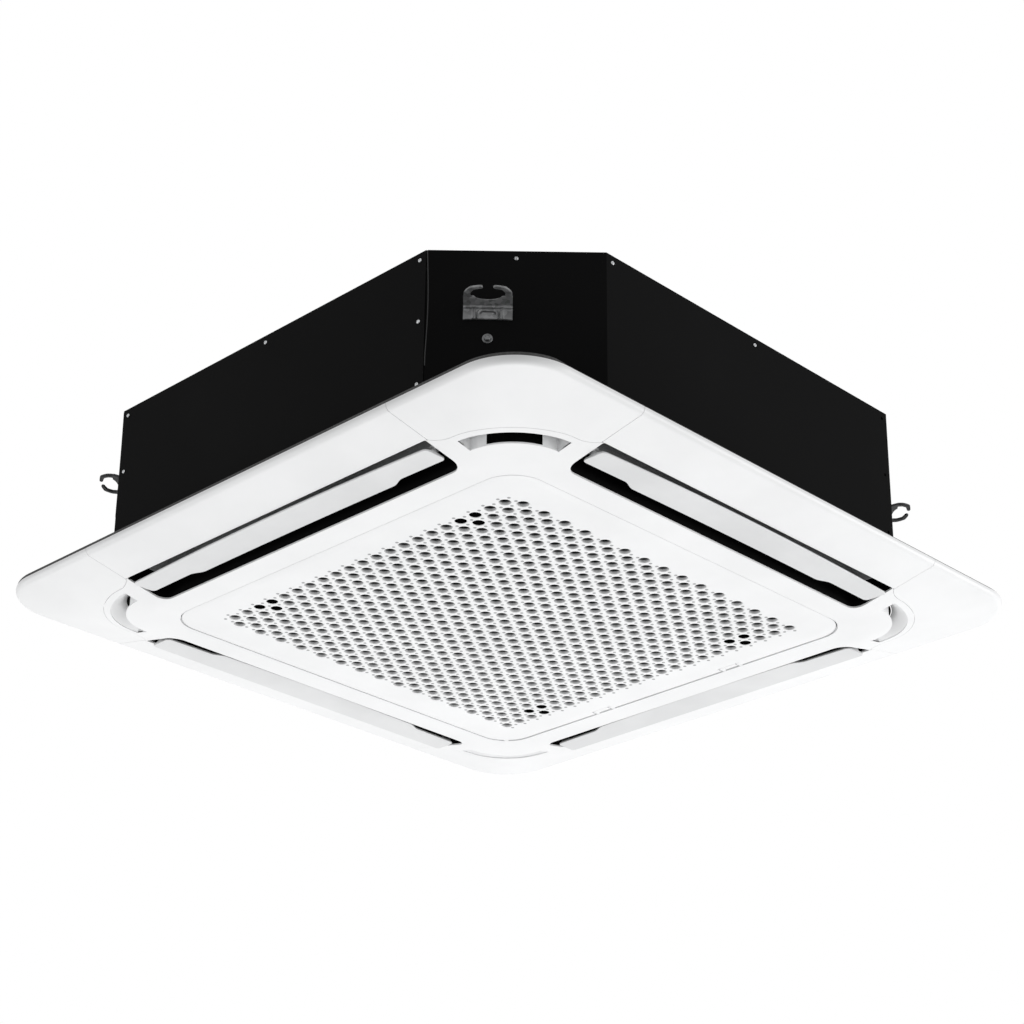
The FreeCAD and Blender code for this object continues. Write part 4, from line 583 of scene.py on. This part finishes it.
def louver(number):
    """A louver blade: a section from an outer edge that bows to an inner edge that steps back near the ends,
    with a rib along the pivot; the blade droops to both ends, and its corners are rounded in plan."""
    outer_edge, inner_edge, bow, step, step_from, step_to = 408.4, 364.6, 4.0, 7.4, 170.0, 192.0
    base, tilt, droop, thick, crown = -169.9, 0.012, 2.2, 2.2, 1.0
    rib_high, rib_wide, end_bend, nose, nose_high = 9.0, 5.0, 6.0, 0.5, 1.0
    half = np.r_[np.linspace(168.0, 192.0, 9), np.linspace(195.0, 250.0, 9), np.linspace(258.0, 262.5, 4),
                 263.6, LOUVER_HALF]
    x = np.r_[-half[::-1], np.linspace(-160.0, 160.0, 21), half][:, None]
    away = np.abs(x)
    near_end = np.clip((away - (LOUVER_HALF - end_bend)) / end_bend, 0.0, 1.0)
    round_end = end_bend * (1.0 - np.sqrt(1.0 - near_end ** 2))
    outer = outer_edge - bow * (x / LOUVER_HALF) ** 2 - 0.6 * round_end
    inner = inner_edge + step * smooth_step(away, step_from, step_to) + round_end
    out = np.linspace(0.0, 1.0, 13)[None]
    q_low = outer + (inner - outer) * out
    q_top = q_low[:, ::-1]
    under = base + tilt * (outer_edge - q_low) - droop * (x / LOUVER_HALF) ** 2
    rib = rib_high * swell(q_top - LOUVER_OUT, rib_wide) * smooth_step(away, LOUVER_HALF, LOUVER_HALF - 2.0)
    over = under[:, ::-1] + thick + crown * np.sin(math.pi * out) + rib
    q = np.concatenate([q_low, inner - nose, q_top, outer + nose], axis=1)
    z = np.concatenate([under, under[:, -1:] + nose_high, over, under[:, :1] + nose_high], axis=1)
    piece = Surface().sweep(quarter(stack(x, -q, z), number), False)
    turn = np.linspace(0.0, 2.0 * math.pi, 17)[:-1]
    r = np.array([3.0, 3.0, 2.4])[:, None]
    pin_q, pin_z = LOUVER_OUT + r * np.cos(turn), LOUVER_LEVEL + r * np.sin(turn)
    for side in (-1.0, 1.0):
        u = side * np.array([258.0, 275.4, 276.0])[:, None]
        piece.sweep(quarter(stack(u, -pin_q, pin_z), number), False)
    name, body = f"louver_{SIDES[number]}_blade", f"vane_{SIDES[number]}"
    # The louver white is a darker copy of the panel white: painted shade
    return piece.object(name, "louver_white", body=body, smooth=60.0, outward=True)


# Hanger brackets at the casing's cut corners
ROD_WIDE = 690.0
ROD_DEEP = 780.0
ROD_SHIFT = (ROD_DEEP - ROD_WIDE) / 2.0 / math.sqrt(2.0)
LEGS = (CHAMFER_LEG, WIDE_LEG, CHAMFER_LEG, CHAMFER_LEG)
FACES = [(2.0 * CASING_HALF - leg) / math.sqrt(2.0) for leg in LEGS]
SIGNS = ((1, -1), (1, 1), (-1, 1), (-1, -1))
ROOT = math.sqrt(0.5)


def at_corner(out, aside, z, number):
    """Points measured out along a corner's diagonal and sideways towards that corner's front or back side."""
    sx, sy = SIGNS[number]
    return stack(sx * (out - aside) * ROOT, sy * (out + aside) * ROOT, z)


def corner_spot(aside, z, number):
    """One spot on a cut corner's face, and the direction that the face looks in."""
    spot = at_corner(np.array([FACES[number]]), aside, z, number)
    return spot, at_corner(np.array([1.0]), 0.0, 0.0, number)


def hanger_bracket(number):
    """A pressed bracket: a sheet that runs down the casing, bends into a lug that rises a little, and ends in
    two horns round the rod slot. Ribs, an arch and a slit are pressed into the upright sheet."""
    clear = 0.1
    face = FACES[number] + clear
    extra = 0.8 * (FACES[0] + clear - face)
    half_wide, low, lug_level, thick = 28.0, -21.0, -3.0, 2.6
    bend, wall, rise, tip = 2.2, 2.4, 0.3, 16.5 + extra
    bend_level = lug_level - bend
    a = np.linspace(-half_wide, half_wide, 85)[None]
    turn = np.linspace(0.0, QUARTER_TURN, 7)
    lug = np.linspace(wall + bend, tip, 9)[1:]
    out = np.r_[np.full(34, wall), wall + bend - bend * np.cos(turn), lug][:, None]
    z = np.r_[np.linspace(low, bend_level, 34), bend_level + bend * np.sin(turn),
              lug_level + rise * (lug - lug[0])][:, None]
    arch_half, arch_level = 5.5, -14.0
    arch = np.hypot(np.maximum(np.abs(a) - arch_half, 0.0), np.maximum(z - arch_level, 0.0)) + arch_half
    rib = swell(np.abs(a) - 17.2, 1.1) + swell(np.abs(a) - 14.6, 0.8)
    ridge = swell(arch - 11.2, 0.8) - 0.8 * swell(arch - 12.8, 0.5)
    slit = smooth_step(0.9 - np.abs(arch - 8.4), 0.0, 0.4) * smooth_step(z, -15.0, -13.6)
    crease = swell(z + 6.4, 0.55)
    stamp = (1.1 * rib + 1.0 * ridge - 3.0 * slit - 1.9 * crease) * smooth_step(-z, 4.8, 5.6)
    foot = 0.8 * (1.0 - (a / half_wide) ** 2) * smooth_step(-z, 18.0, -low)
    slot_deep, slot_half, slot_run = 5.0, 15.5, 9.0
    slot = slot_deep * np.clip(1.0 - (a / slot_half) ** 2, 0.0, 1.0) ** 0.5
    slot = slot * smooth_step(out, tip - slot_run, tip)
    aside = ROD_SHIFT + a + 0.0 * z
    upright = z < bend_level
    back_out = np.where(upright, 0.0, np.maximum(out - wall, 0.0))
    back_z = np.where(upright, z + foot, z + thick)
    front = at_corner(face + out + stamp - slot, aside, z + foot - rise * slot, number)
    back = at_corner(face + back_out - slot, aside, back_z - rise * slot, number)
    piece = Surface().grid(front).grid(back)
    ends = ((front[0], back[0]), (front[-1], back[-1]))
    sides = ((front[:, 0], back[:, 0]), (front[:, -1], back[:, -1]))
    for pair in ends + sides:
        piece.grid(np.stack(pair))
    root_out, reach, hook, root_aside, swing_in, root_half, taper = 12.0, 18.0, 3.0, 23.6, 17.6, 4.2, 2.0
    t = np.linspace(0.0, 1.0, 25)[:, None]
    swing = np.clip((t - 0.28) / 0.72, 0.0, 1.0)
    path_o = root_out + extra + reach * np.minimum(t / 0.6, 1.0) ** 0.9 + hook * smooth_step(t, 0.5, 1.0)
    path_a = root_aside - swing_in * swing ** 1.5
    step_o, step_a = np.gradient(path_o[:, 0])[:, None], np.gradient(path_a[:, 0])[:, None]
    size = np.hypot(step_o, step_a)
    round_tip = np.clip(1.0 - ((t - 0.94) / 0.06).clip(0.0, 1.0) ** 2, 0.02, 1.0)
    half = (root_half - taper * t) * np.sqrt(round_tip)
    soft, inset = 0.3, 0.88
    section = np.array([(-1.0, soft), (-inset, 0.0), (inset, 0.0), (1.0, soft), (1.0, thick - soft),
                        (inset, thick), (-inset, thick), (-1.0, thick - soft)])
    across = section[None, :, 0] * half
    horn_o = path_o - step_a / size * across
    horn_a = path_a + step_o / size * across
    horn_z = lug_level + rise * (np.minimum(path_o, tip) - wall - bend) + 0.06 * np.maximum(path_o - tip, 0.0)
    horn_z = horn_z + section[None, :, 1]
    for side in (-1.0, 1.0):
        piece.sweep(at_corner(face + horn_o, ROD_SHIFT + side * horn_a, horn_z, number), False)
    # Painted shade: every bracket but the front right one gets a darker copy of the same zinc sheet
    finish = "galvanized" if number == 0 else "dull_sheet"
    name = f"hanger_bracket_{CORNERS[number]}_sheet"
    return piece.object(name, "galvanized", finish, smooth=40.0, outward=True)


# Screws, bolts and thin trim of the casing
SCREW_LEVEL = 61.0
SCREW_STEP = 81.0
SCREW_INSET = 10.0
BOLT_LEVEL = -45.0
CROWN = 1.9
POLE = 0.001


def heads(centres, aims, profile, steps=16, cross=0.0):
    """Heads turned about each aim, from radius and height; cross sinks a recess into the crown."""
    turn = np.linspace(0.0, 2.0 * math.pi, steps, endpoint=False)
    radius, height = np.array(profile).T[..., None]
    height = height - cross * (radius < CROWN) * (np.cos(4.0 * turn)[None] > 0.0)
    side = np.stack([-aims[:, 1], aims[:, 0], np.zeros(len(aims))], axis=-1)
    up = np.array([0.0, 0.0, 1.0])
    return (centres[:, None, None] + aims[:, None, None] * height[None, ..., None]
            + side[:, None, None] * (radius * np.cos(turn))[None, ..., None]
            + up * (radius * np.sin(turn))[None, ..., None])


def casing_screws():
    """Domed screws along the casing's top edge and seams, only two on the right side, and one at the top of
    each cut corner."""
    centres, aims = [], []
    for number in QUARTERS:
        left, right = LEGS[number - 1], LEGS[number]
        start, seam = left + SCREW_INSET - CASING_HALF, CASING_HALF - right - SCREW_INSET
        spots = [(start, 0), ((left - right) / 2.0, 0)]
        if SIDES[number] != "right":
            spots += [(seam, 0), (seam, 1), (seam, 2), (start, 1)]
        flat = np.array([(along, -CASING_HALF, SCREW_LEVEL - SCREW_STEP * row) for along, row in spots])
        centres.append(quarter(flat, number))
        aims.append(quarter(np.tile([0.0, -1.0, 0.0], (len(spots), 1)), number))
        spot, aim = corner_spot(0.0, SCREW_LEVEL, number)
        centres.append(spot)
        aims.append(aim)
    dome = [(POLE, -0.5), (2.6, -0.5), (2.6, 0.3), (2.3, 0.9), (CROWN, 1.3), (1.3, 1.5), (1.1, 1.5),
            (POLE, 1.6)]
    piece = Surface().copies(heads(np.concatenate(centres), np.concatenate(aims), dome, 16, 0.9), True)
    return piece.object("casing_screw_heads", "zinc_fasteners", outward=True)


def seam_lips():
    """The folded edge of each casing sheet: a thin bowed lip down the cut corner, whose light grey is a
    painted highlight.
    """
    piece = Surface()
    top, drop, inset, bow_out = 69.5, 150.0, 1.4, 2.0
    high = np.linspace(0.0, 1.0, 17)[:, None]
    z = top - drop * high
    section = np.array([(0.0, -0.6), (0.5, -0.3), (0.5, 0.3), (0.0, 0.6)])
    bow = bow_out * np.sin(math.pi * np.clip(high * 1.1, 0.0, 1.0))
    for number in QUARTERS:
        edge = LEGS[number] * ROOT
        out = FACES[number] + section[None, :, 0]
        piece.sweep(at_corner(out, edge - inset - bow + section[None, :, 1], z, number), False)
    return piece.object("casing_seam_lips", "casing_black", "lip_grey", outward=True)


def panel_gasket():
    """The foam strip between panel and ceiling: a low section carried round the panel, higher along the front
    and round its corners, where its grey band is painted shade of the rim; the low strip itself is real foam."""
    half, bend, low, front_shade_rise, wide = 473.2, 78.2, 1.4, 3.0, 8.0
    points, normals = square_path(half, bend, 16)
    high = low + front_shade_rise * smooth_step(-normals[:, 1], -0.05, 0.3)
    section = np.array([(0.0, 0.0), (0.0, 0.8), (-0.6, 1.0), (-wide, 1.0), (-wide, 0.0)])
    rows = carried(points, normals, section)
    rows[..., 2] = CEILING + high[:, None] * rows[..., 2]
    piece = Surface().sweep(closed(rows))
    return piece.object("panel_gasket_strip", "damper_rubber", "gasket_grey", outward=True)


def bracket_bolts():
    """A washer and a six-sided head below each bracket."""
    spots = [corner_spot(ROD_SHIFT, BOLT_LEVEL, number) for number in QUARTERS]
    centres, aims = (np.concatenate(column) for column in zip(*spots))
    washer = [(POLE, -0.5), (5.8, -0.5), (6.2, 0.0), (6.2, 0.9), (5.8, 1.3), (POLE, 1.3)]
    head = [(POLE, 0.8), (4.0, 0.8), (4.3, 1.3), (4.3, 4.0), (3.8, 4.6), (2.8, 4.8), (2.4, 4.2), (POLE, 4.1)]
    piece = Surface().copies(heads(centres, aims, washer, 24), True)
    piece.copies(heads(centres, aims, head, 6), True)
    return piece.object("bracket_bolt_heads", "zinc_fasteners", "dull_zinc", outward=True)


# Shader expressions
class Socket:
    """Wraps a shader socket so that sums, differences and products of values add Math nodes."""

    def __init__(self, material, socket):
        self.material = material
        self.socket = socket

    def math(self, operation, *others):
        """A Math node's result on this value and others."""
        return self.material.node("ShaderNodeMath", {"operation": operation}, [self, *others])

    def __add__(self, other):
        return self.math("ADD", other)

    __radd__ = __add__

    def __sub__(self, other):
        return self.math("SUBTRACT", other)

    def __rsub__(self, other):
        return self.material.node("ShaderNodeMath", {"operation": "SUBTRACT"}, [other, self])

    def __mul__(self, other):
        return self.math("MULTIPLY", other)

    __rmul__ = __mul__


class Finish:
    """A material whose shader is written with sockets."""

    def __init__(self, name, roughness=0.5, metallic=0.0, specular=0.5):
        self.material = bpy.data.materials.new(name)
        self.material.use_nodes = True
        self.tree = self.material.node_tree
        self.shader = self.tree.nodes["Principled BSDF"]
        self.set(Roughness=roughness, Metallic=metallic, Specular_IOR_Level=specular)
        self.place = self.node("ShaderNodeTexCoord", {}, {}, "Object")

    def put(self, socket, value):
        """Link a socket or set it to a number or a colour."""
        if isinstance(value, Socket):
            self.tree.links.new(value.socket, socket)
        elif isinstance(value, tuple) and len(value) == 3 and socket.type == "RGBA":
            socket.default_value = (*value, 1.0)
        else:
            socket.default_value = value

    def node(self, kind, settings, values, output=0):
        """Add a node: settings first, then the values or links of its sockets."""
        made = self.tree.nodes.new(kind)
        for key, value in settings.items():
            setattr(made, key, value)
        pairs = values.items() if isinstance(values, dict) else enumerate(values)
        for key, value in pairs:
            self.put(made.inputs[key], value)
        return Socket(self, made.outputs[output])

    def noise(self, scale, detail):
        """Cloudy noise with a number of cells to the metre."""
        values = {"Vector": self.place, "Scale": scale, "Detail": detail, "Roughness": 0.5}
        return self.node("ShaderNodeTexNoise", {}, values, "Fac")

    def cells(self, scale, output):
        """Random cells with a number of them to the metre."""
        return self.node("ShaderNodeTexVoronoi", {}, {"Vector": self.place, "Scale": scale}, output)

    def axes(self):
        """The three object coordinates in metres."""
        parts = self.node("ShaderNodeSeparateXYZ", {}, [self.place]).socket.node.outputs
        return [Socket(self, parts[axis]) for axis in "XYZ"]

    def between(self, value, low, high, start=0.0, end=1.0):
        """A value carried from one range to another, held at both ends."""
        return self.node("ShaderNodeMapRange", {"clamp": True}, [value, low, high, start, end])

    def mix(self, factor, first, second):
        """A colour between two colours."""
        settings = {"data_type": "RGBA"}
        return self.node("ShaderNodeMix", settings, {0: factor, 6: first, 7: second}, 2)

    def bump(self, height, strength, distance):
        """A normal bent by a height."""
        return self.node("ShaderNodeBump", {}, {"Height": height, "Strength": strength, "Distance": distance})

    def set(self, **values):
        """Set or link sockets of the shader by name, and give the material."""
        for key, value in values.items():
            self.put(self.shader.inputs[key.replace("_", " ")], value)
        return self.material

    def plastic(self, colour, shade, roughness):
        """Moulded plastic's cloudy colour, its grained gloss and the grain itself."""
        cloud = self.noise(9.0, 3.0)
        grain = self.noise(900.0, 2.0)
        plain = self.mix(self.between(cloud, 0.35, 0.65), colour, shade)
        return plain, self.between(grain, 0.3, 0.7, roughness - 0.05, roughness + 0.06), grain


def moulded(name, colour, shade, roughness):
    """Moulded plastic: a faint cloudiness in its colour, fine grain in its gloss and a light bump."""
    finish = Finish(name, roughness)
    plain, gloss, grain = finish.plastic(colour, shade, roughness)
    return finish.set(Base_Color=plain, Roughness=gloss, Normal=finish.bump(grain, 0.06, 0.0002))


def holed_plastic(name, colour, shade, hole_shade, roughness):
    """The grille's plastic: moulded, with painted shade that darkens the hole walls towards the back, and a
    small dimple midway between any three holes whose grey is painted shade too."""
    finish = Finish(name, roughness)
    plain, gloss, grain = finish.plastic(colour, shade, roughness)
    x, y, z = (axis * 1000.0 for axis in finish.axes())
    column = HOLE_PITCH / 2.0
    across = ((x + column).math("FLOORED_MODULO", HOLE_PITCH) - column).math("ABSOLUTE")
    two_rows = 2.0 * ROW_PITCH
    first_row = (HOLE_ROWS - 3) / 2.0 * ROW_PITCH
    along = ((y - first_row + ROW_PITCH).math("FLOORED_MODULO", two_rows) - ROW_PITCH).math("ABSOLUTE")
    third = ROW_PITCH / 3.0
    near = (across * across + (along - 2.0 * third) * (along - 2.0 * third)).math("SQRT")
    aside = across - column
    far = (aside * aside + (along - third) * (along - third)).math("SQRT")
    in_depth = finish.between(y.math("ABSOLUTE"), 272.0, 273.0, 1.0, 0.0)
    in_width = finish.between(x.math("ABSOLUTE"), 264.0, 265.0, 1.0, 0.0)
    dimple = finish.between(near.math("MINIMUM", far), 1.6, 2.7, 1.0, 0.0) * (in_depth * in_width)
    # Painted shade: from a little above the face up to the back, the hole walls take the dark hole shade
    # colour
    inside = finish.between(z, FACE + 3.3, FACE + 5.0, 0.0, 1.0)
    # Painted shade: the grey inside each dimple
    dimple_shaded = finish.mix(dimple * 0.9, plain, (0.25, 0.255, 0.26))
    return finish.set(
        Base_Color=finish.mix(inside, dimple_shaded, hole_shade),
        Roughness=gloss,
        Normal=finish.bump(dimple * -1.0 + grain * 0.05, 0.5, 0.0004),
    )


def painted(name, colour, dusty, roughness, specular=0.12):
    """Powder-painted sheet: orange-peel bump, slow changes of gloss and a little dust."""
    finish = Finish(name, roughness, specular=specular)
    peel = finish.noise(420.0, 2.0)
    slow = finish.noise(3.2, 4.0)
    dust = finish.between(slow, 0.45, 0.75)
    return finish.set(
        Base_Color=finish.mix(dust, colour, dusty),
        Roughness=finish.between(slow, 0.3, 0.7, roughness - 0.06, roughness + 0.08),
        Normal=finish.bump(peel, 0.12, 0.0004),
    )


def galvanized_sheet(name, light, dark, roughness, metallic):
    """Zinc-coated sheet: crystal spangle in colour and gloss over a partly metallic base."""
    finish = Finish(name, roughness, metallic)
    grey = finish.node("ShaderNodeRGBToBW", {}, [finish.cells(190.0, "Color")])
    fine = finish.noise(60.0, 4.0)
    mask = grey * 0.6 + fine * 0.4
    return finish.set(
        Base_Color=finish.mix(finish.between(mask, 0.25, 0.75), dark, light),
        Roughness=finish.between(mask, 0.2, 0.8, roughness - 0.1, roughness + 0.12),
        Normal=finish.bump(fine, 0.1, 0.0003),
    )


def drawn_metal(name, light, dark, roughness):
    """Turned or drawn metal: fine grain in its gloss and a little tarnish."""
    finish = Finish(name, roughness, 1.0)
    grain = finish.noise(700.0, 2.0)
    stain = finish.noise(25.0, 3.0)
    return finish.set(
        Base_Color=finish.mix(finish.between(stain, 0.35, 0.7), light, dark),
        Roughness=finish.between(grain, 0.2, 0.8, roughness - 0.06, roughness + 0.1),
        Normal=finish.bump(grain, 0.08, 0.0002),
    )


def closed_foam(name, light, dark):
    """Foam or rubber: small pits in colour and bump."""
    finish = Finish(name, 0.85, specular=0.2)
    cells = finish.cells(350.0, "Distance")
    blotch = finish.noise(14.0, 3.0)
    mask = cells * 0.5 + blotch * 0.5
    return finish.set(
        Base_Color=finish.mix(finish.between(mask, 0.2, 0.7), dark, light),
        Roughness=finish.between(blotch, 0.3, 0.7, 0.78, 0.92),
        Normal=finish.bump(cells, 0.25, 0.0006),
    )


def lined(name, light, dark, pitch, metallic, roughness):
    """Close-set fins or a net: thin lines both ways across the piece in colour and bump."""
    finish = Finish(name, roughness, metallic)
    across, along = finish.axes()[:2]
    wave = 2.0 * math.pi / (pitch * MM)
    mask = (across * wave).math("SINE").math("MAXIMUM", (along * wave).math("SINE"))
    return finish.set(
        Base_Color=finish.mix(finish.between(mask, -0.2, 0.9), dark, light),
        Roughness=finish.between(mask, -1.0, 1.0, roughness + 0.1, roughness),
        Normal=finish.bump(mask, 0.3, 0.0004),
    )


# Finishes by name: how each is made, its colours and gloss; the record's slots have the same names
WHITE = (0.84, 0.845, 0.85)
WHITE_SHADE = (0.80, 0.805, 0.81)
DEEP_BLACK = (0.0012, 0.0012, 0.0012)
DEEP_DUST = (0.002, 0.002, 0.002)
RECIPES = {
    "panel_white": (moulded, WHITE, WHITE_SHADE, 0.42),
    # Louver white: a darker copy of the panel white, painted shade on the louvers down in their slots
    "louver_white": (moulded, (0.71, 0.715, 0.72), (0.65, 0.655, 0.66), 0.45),
    "trim_plastic": (moulded, (0.62, 0.63, 0.64), (0.56, 0.57, 0.58), 0.5),
    # The grille's third colour is the painted shade up inside its holes
    "grille_white": (holed_plastic, WHITE, WHITE_SHADE, (0.012, 0.012, 0.012), 0.42),
    # Pocket grey: a little darker than the panel white, painted shade in the corner outlets' recesses
    "pocket_grey": (moulded, (0.80, 0.805, 0.81), (0.76, 0.765, 0.77), 0.5),
    "filter_net": (lined, (0.02, 0.02, 0.021), (0.006, 0.006, 0.006), 1.6, 0.0, 0.8),
    "casing_black": (painted, (0.0046, 0.0046, 0.0047), (0.0074, 0.0074, 0.0076), 0.6, 0.02),
    "stud_black": (painted, DEEP_BLACK, DEEP_DUST, 0.7, 0.0),
    # Lip grey: lighter than the casing's black, a painted highlight along the seam lips
    "lip_grey": (painted, (0.05, 0.05, 0.051), (0.08, 0.08, 0.081), 0.5),
    "gasket_grey": (closed_foam, (0.10, 0.10, 0.10), (0.06, 0.06, 0.06)),
    # Duct black returns almost no light: painted shade in the ducts, the slot linings and the outlet mouths
    "duct_black": (painted, DEEP_BLACK, DEEP_DUST, 0.8, 0.04),
    "galvanized": (galvanized_sheet, (0.28, 0.284, 0.288), (0.12, 0.122, 0.124), 0.42, 0.4),
    # Dull sheet: a darker copy of the galvanized sheet, painted shade on the brackets other than the front
    # right one
    "dull_sheet": (galvanized_sheet, (0.05, 0.051, 0.053), (0.02, 0.021, 0.022), 0.5, 0.6),
    "dull_zinc": (drawn_metal, (0.16, 0.163, 0.166), (0.09, 0.092, 0.094), 0.38),
    "zinc_fasteners": (drawn_metal, (0.62, 0.63, 0.64), (0.48, 0.49, 0.5), 0.3),
    "foam": (closed_foam, (0.62, 0.63, 0.64), (0.5, 0.51, 0.52)),
    "fin_aluminium": (lined, (0.68, 0.7, 0.72), (0.3, 0.31, 0.32), 2.2, 0.9, 0.35),
    "copper": (drawn_metal, (0.72, 0.4, 0.25), (0.5, 0.25, 0.15), 0.32),
    "nut_brass": (drawn_metal, (0.7, 0.57, 0.28), (0.55, 0.42, 0.2), 0.3),
    "damper_rubber": (closed_foam, (0.035, 0.035, 0.035), (0.02, 0.02, 0.02)),
    "board_green": (moulded, (0.03, 0.2, 0.09), (0.02, 0.13, 0.06), 0.4),
}
FINISHES = {name: make(name, *values) for name, (make, *values) in RECIPES.items()}
for entry in frame["record"]["subparts"]:
    mesh = nodes[entry["node"]].data
    mesh.materials.clear()
    mesh.materials.append(FINISHES[entry["material_slot"]])

# Pieces, and the plain solids that they stand for
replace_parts(frame_skin(), "panel_frame")
intake_wall()
hinge_ears()
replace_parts(grille_plate(), "intake_grille")
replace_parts(casing_screws(), "casing_screws")
seam_lips()
panel_gasket()
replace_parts(bracket_bolts(), "bracket_bolts")
for turn_number in QUARTERS:
    corner, side = CORNERS[turn_number], SIDES[turn_number]
    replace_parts(corner_cover(turn_number), f"corner_cover_{corner}")
    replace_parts(hanger_bracket(turn_number), f"hanger_bracket_{corner}")
    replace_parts(louver(turn_number), f"louver_{side}")
    outlet_pocket(turn_number)
    slot_lining(turn_number)

# Camera at the photograph's viewing angle: degrees, metres, and lens and shift in the photograph's pixels
AZIMUTH = 44.55
ELEVATION = -23.96
ROLL = 0.56
DISTANCE = 3.1862
TARGET = (0.0, 0.0, -0.151)
PICTURE = 1024.0
SENSOR = 36.0
FOCAL = 2459.5
SHIFT = (2.45, 93.8)


def camera_matrix():
    """Camera axes from the view's angles: back points away from the target, roll turns right towards up."""
    a, e, r = map(math.radians, (AZIMUTH, ELEVATION, ROLL))
    back = np.array([math.sin(a) * math.cos(e), -math.cos(a) * math.cos(e), math.sin(e)])
    right = np.cross(-back, [0.0, 0.0, 1.0])
    right /= np.linalg.norm(right)
    up = np.cross(back, right)
    axes = np.array([math.cos(r) * right + math.sin(r) * up, math.cos(r) * up - math.sin(r) * right, back])
    return placed(axes, np.array(TARGET) + back * DISTANCE)


def placed(axes, spot):
    """A matrix, in the order that Blender takes, from three axes as rows and a place."""
    matrix = np.eye(4)
    matrix[:3, :3] = axes
    matrix[3, :3] = spot
    return matrix.tolist()


view = bpy.data.cameras.new("view")
view.sensor_width = SENSOR
view.lens = SENSOR * FOCAL / PICTURE
view.shift_x = SHIFT[0] / PICTURE
view.shift_y = SHIFT[1] / PICTURE
view.clip_end = 50.0
camera = bpy.data.objects.new("camera", view)
scene.collection.objects.link(camera)
camera.matrix_world = camera_matrix()
bpy.context.scene.camera = camera

# Studio: a pale floor far below, soft lamps and a white surround
SURROUND_LIGHT = 0.5
SURROUND_SHOWN = 1.0
FLOOR_HALF = 6.0
FLOOR_LEVEL = -2.9


def lamp(name, spot, aim, size, power):
    """A round soft lamp at a spot, turned to face an aim."""
    light = bpy.data.lights.new(name, "AREA")
    light.shape = "DISK"
    light.size = size
    light.energy = power
    thing = bpy.data.objects.new(name, light)
    back = np.array(spot, float) - np.array(aim, float)
    back /= np.linalg.norm(back)
    side = np.cross([0.0, 0.0, 1.0] if abs(back[2]) < 0.95 else [0.0, 1.0, 0.0], back)
    side /= np.linalg.norm(side)
    thing.matrix_world = placed(np.array([side, np.cross(back, side), back]), spot)
    scene.collection.objects.link(thing)


lamp("under_lamp", (-0.5, 0.5, -2.6), (0.0, 0.0, -0.15), 2.4, 40.0)
lamp("left_lamp", (-2.6, -2.3, -1.2), (0.0, 0.0, -0.1), 1.6, 26.0)
lamp("right_lamp", (2.5, 2.2, -0.8), (0.0, 0.0, -0.1), 1.6, 50.0)

world = bpy.data.worlds.new("surround")
scene.world = world
world.use_nodes = True
tree = world.node_tree
lit = tree.nodes["Background"]
shown = tree.nodes.new("ShaderNodeBackground")
for background, strength in ((lit, SURROUND_LIGHT), (shown, SURROUND_SHOWN)):
    background.inputs["Color"].default_value = (1.0, 1.0, 1.0, 1.0)
    background.inputs["Strength"].default_value = strength
path = tree.nodes.new("ShaderNodeLightPath")
either = tree.nodes.new("ShaderNodeMath")
any_ray = tree.nodes.new("ShaderNodeMath")
either.operation = any_ray.operation = "MAXIMUM"
blend = tree.nodes.new("ShaderNodeMixShader")
tree.links.new(path.outputs["Is Camera Ray"], either.inputs[0])
tree.links.new(path.outputs["Is Transmission Ray"], either.inputs[1])
tree.links.new(either.outputs[0], any_ray.inputs[0])
tree.links.new(path.outputs["Is Glossy Ray"], any_ray.inputs[1])
tree.links.new(any_ray.outputs[0], blend.inputs["Fac"])
tree.links.new(lit.outputs[0], blend.inputs[1])
tree.links.new(shown.outputs[0], blend.inputs[2])
tree.links.new(blend.outputs[0], tree.nodes["World Output"].inputs["Surface"])

floor_mesh = bpy.data.meshes.new("floor")
floor_plan = ((-1, -1), (1, -1), (1, 1), (-1, 1))
floor_points = [(x * FLOOR_HALF, y * FLOOR_HALF, FLOOR_LEVEL) for x, y in floor_plan]
floor_mesh.from_pydata(floor_points, [], [(0, 1, 2, 3)])
floor = bpy.data.objects.new("floor", floor_mesh)
scene.collection.objects.link(floor)
pale = Finish("floor_pale", 0.9, specular=0.1)
paleness = pale.mix(pale.noise(2.0, 2.0), (0.84, 0.84, 0.84), (0.88, 0.88, 0.88))
floor_mesh.materials.append(pale.set(Base_Color=paleness))

bpy.context.scene.view_settings.view_transform = "Standard"
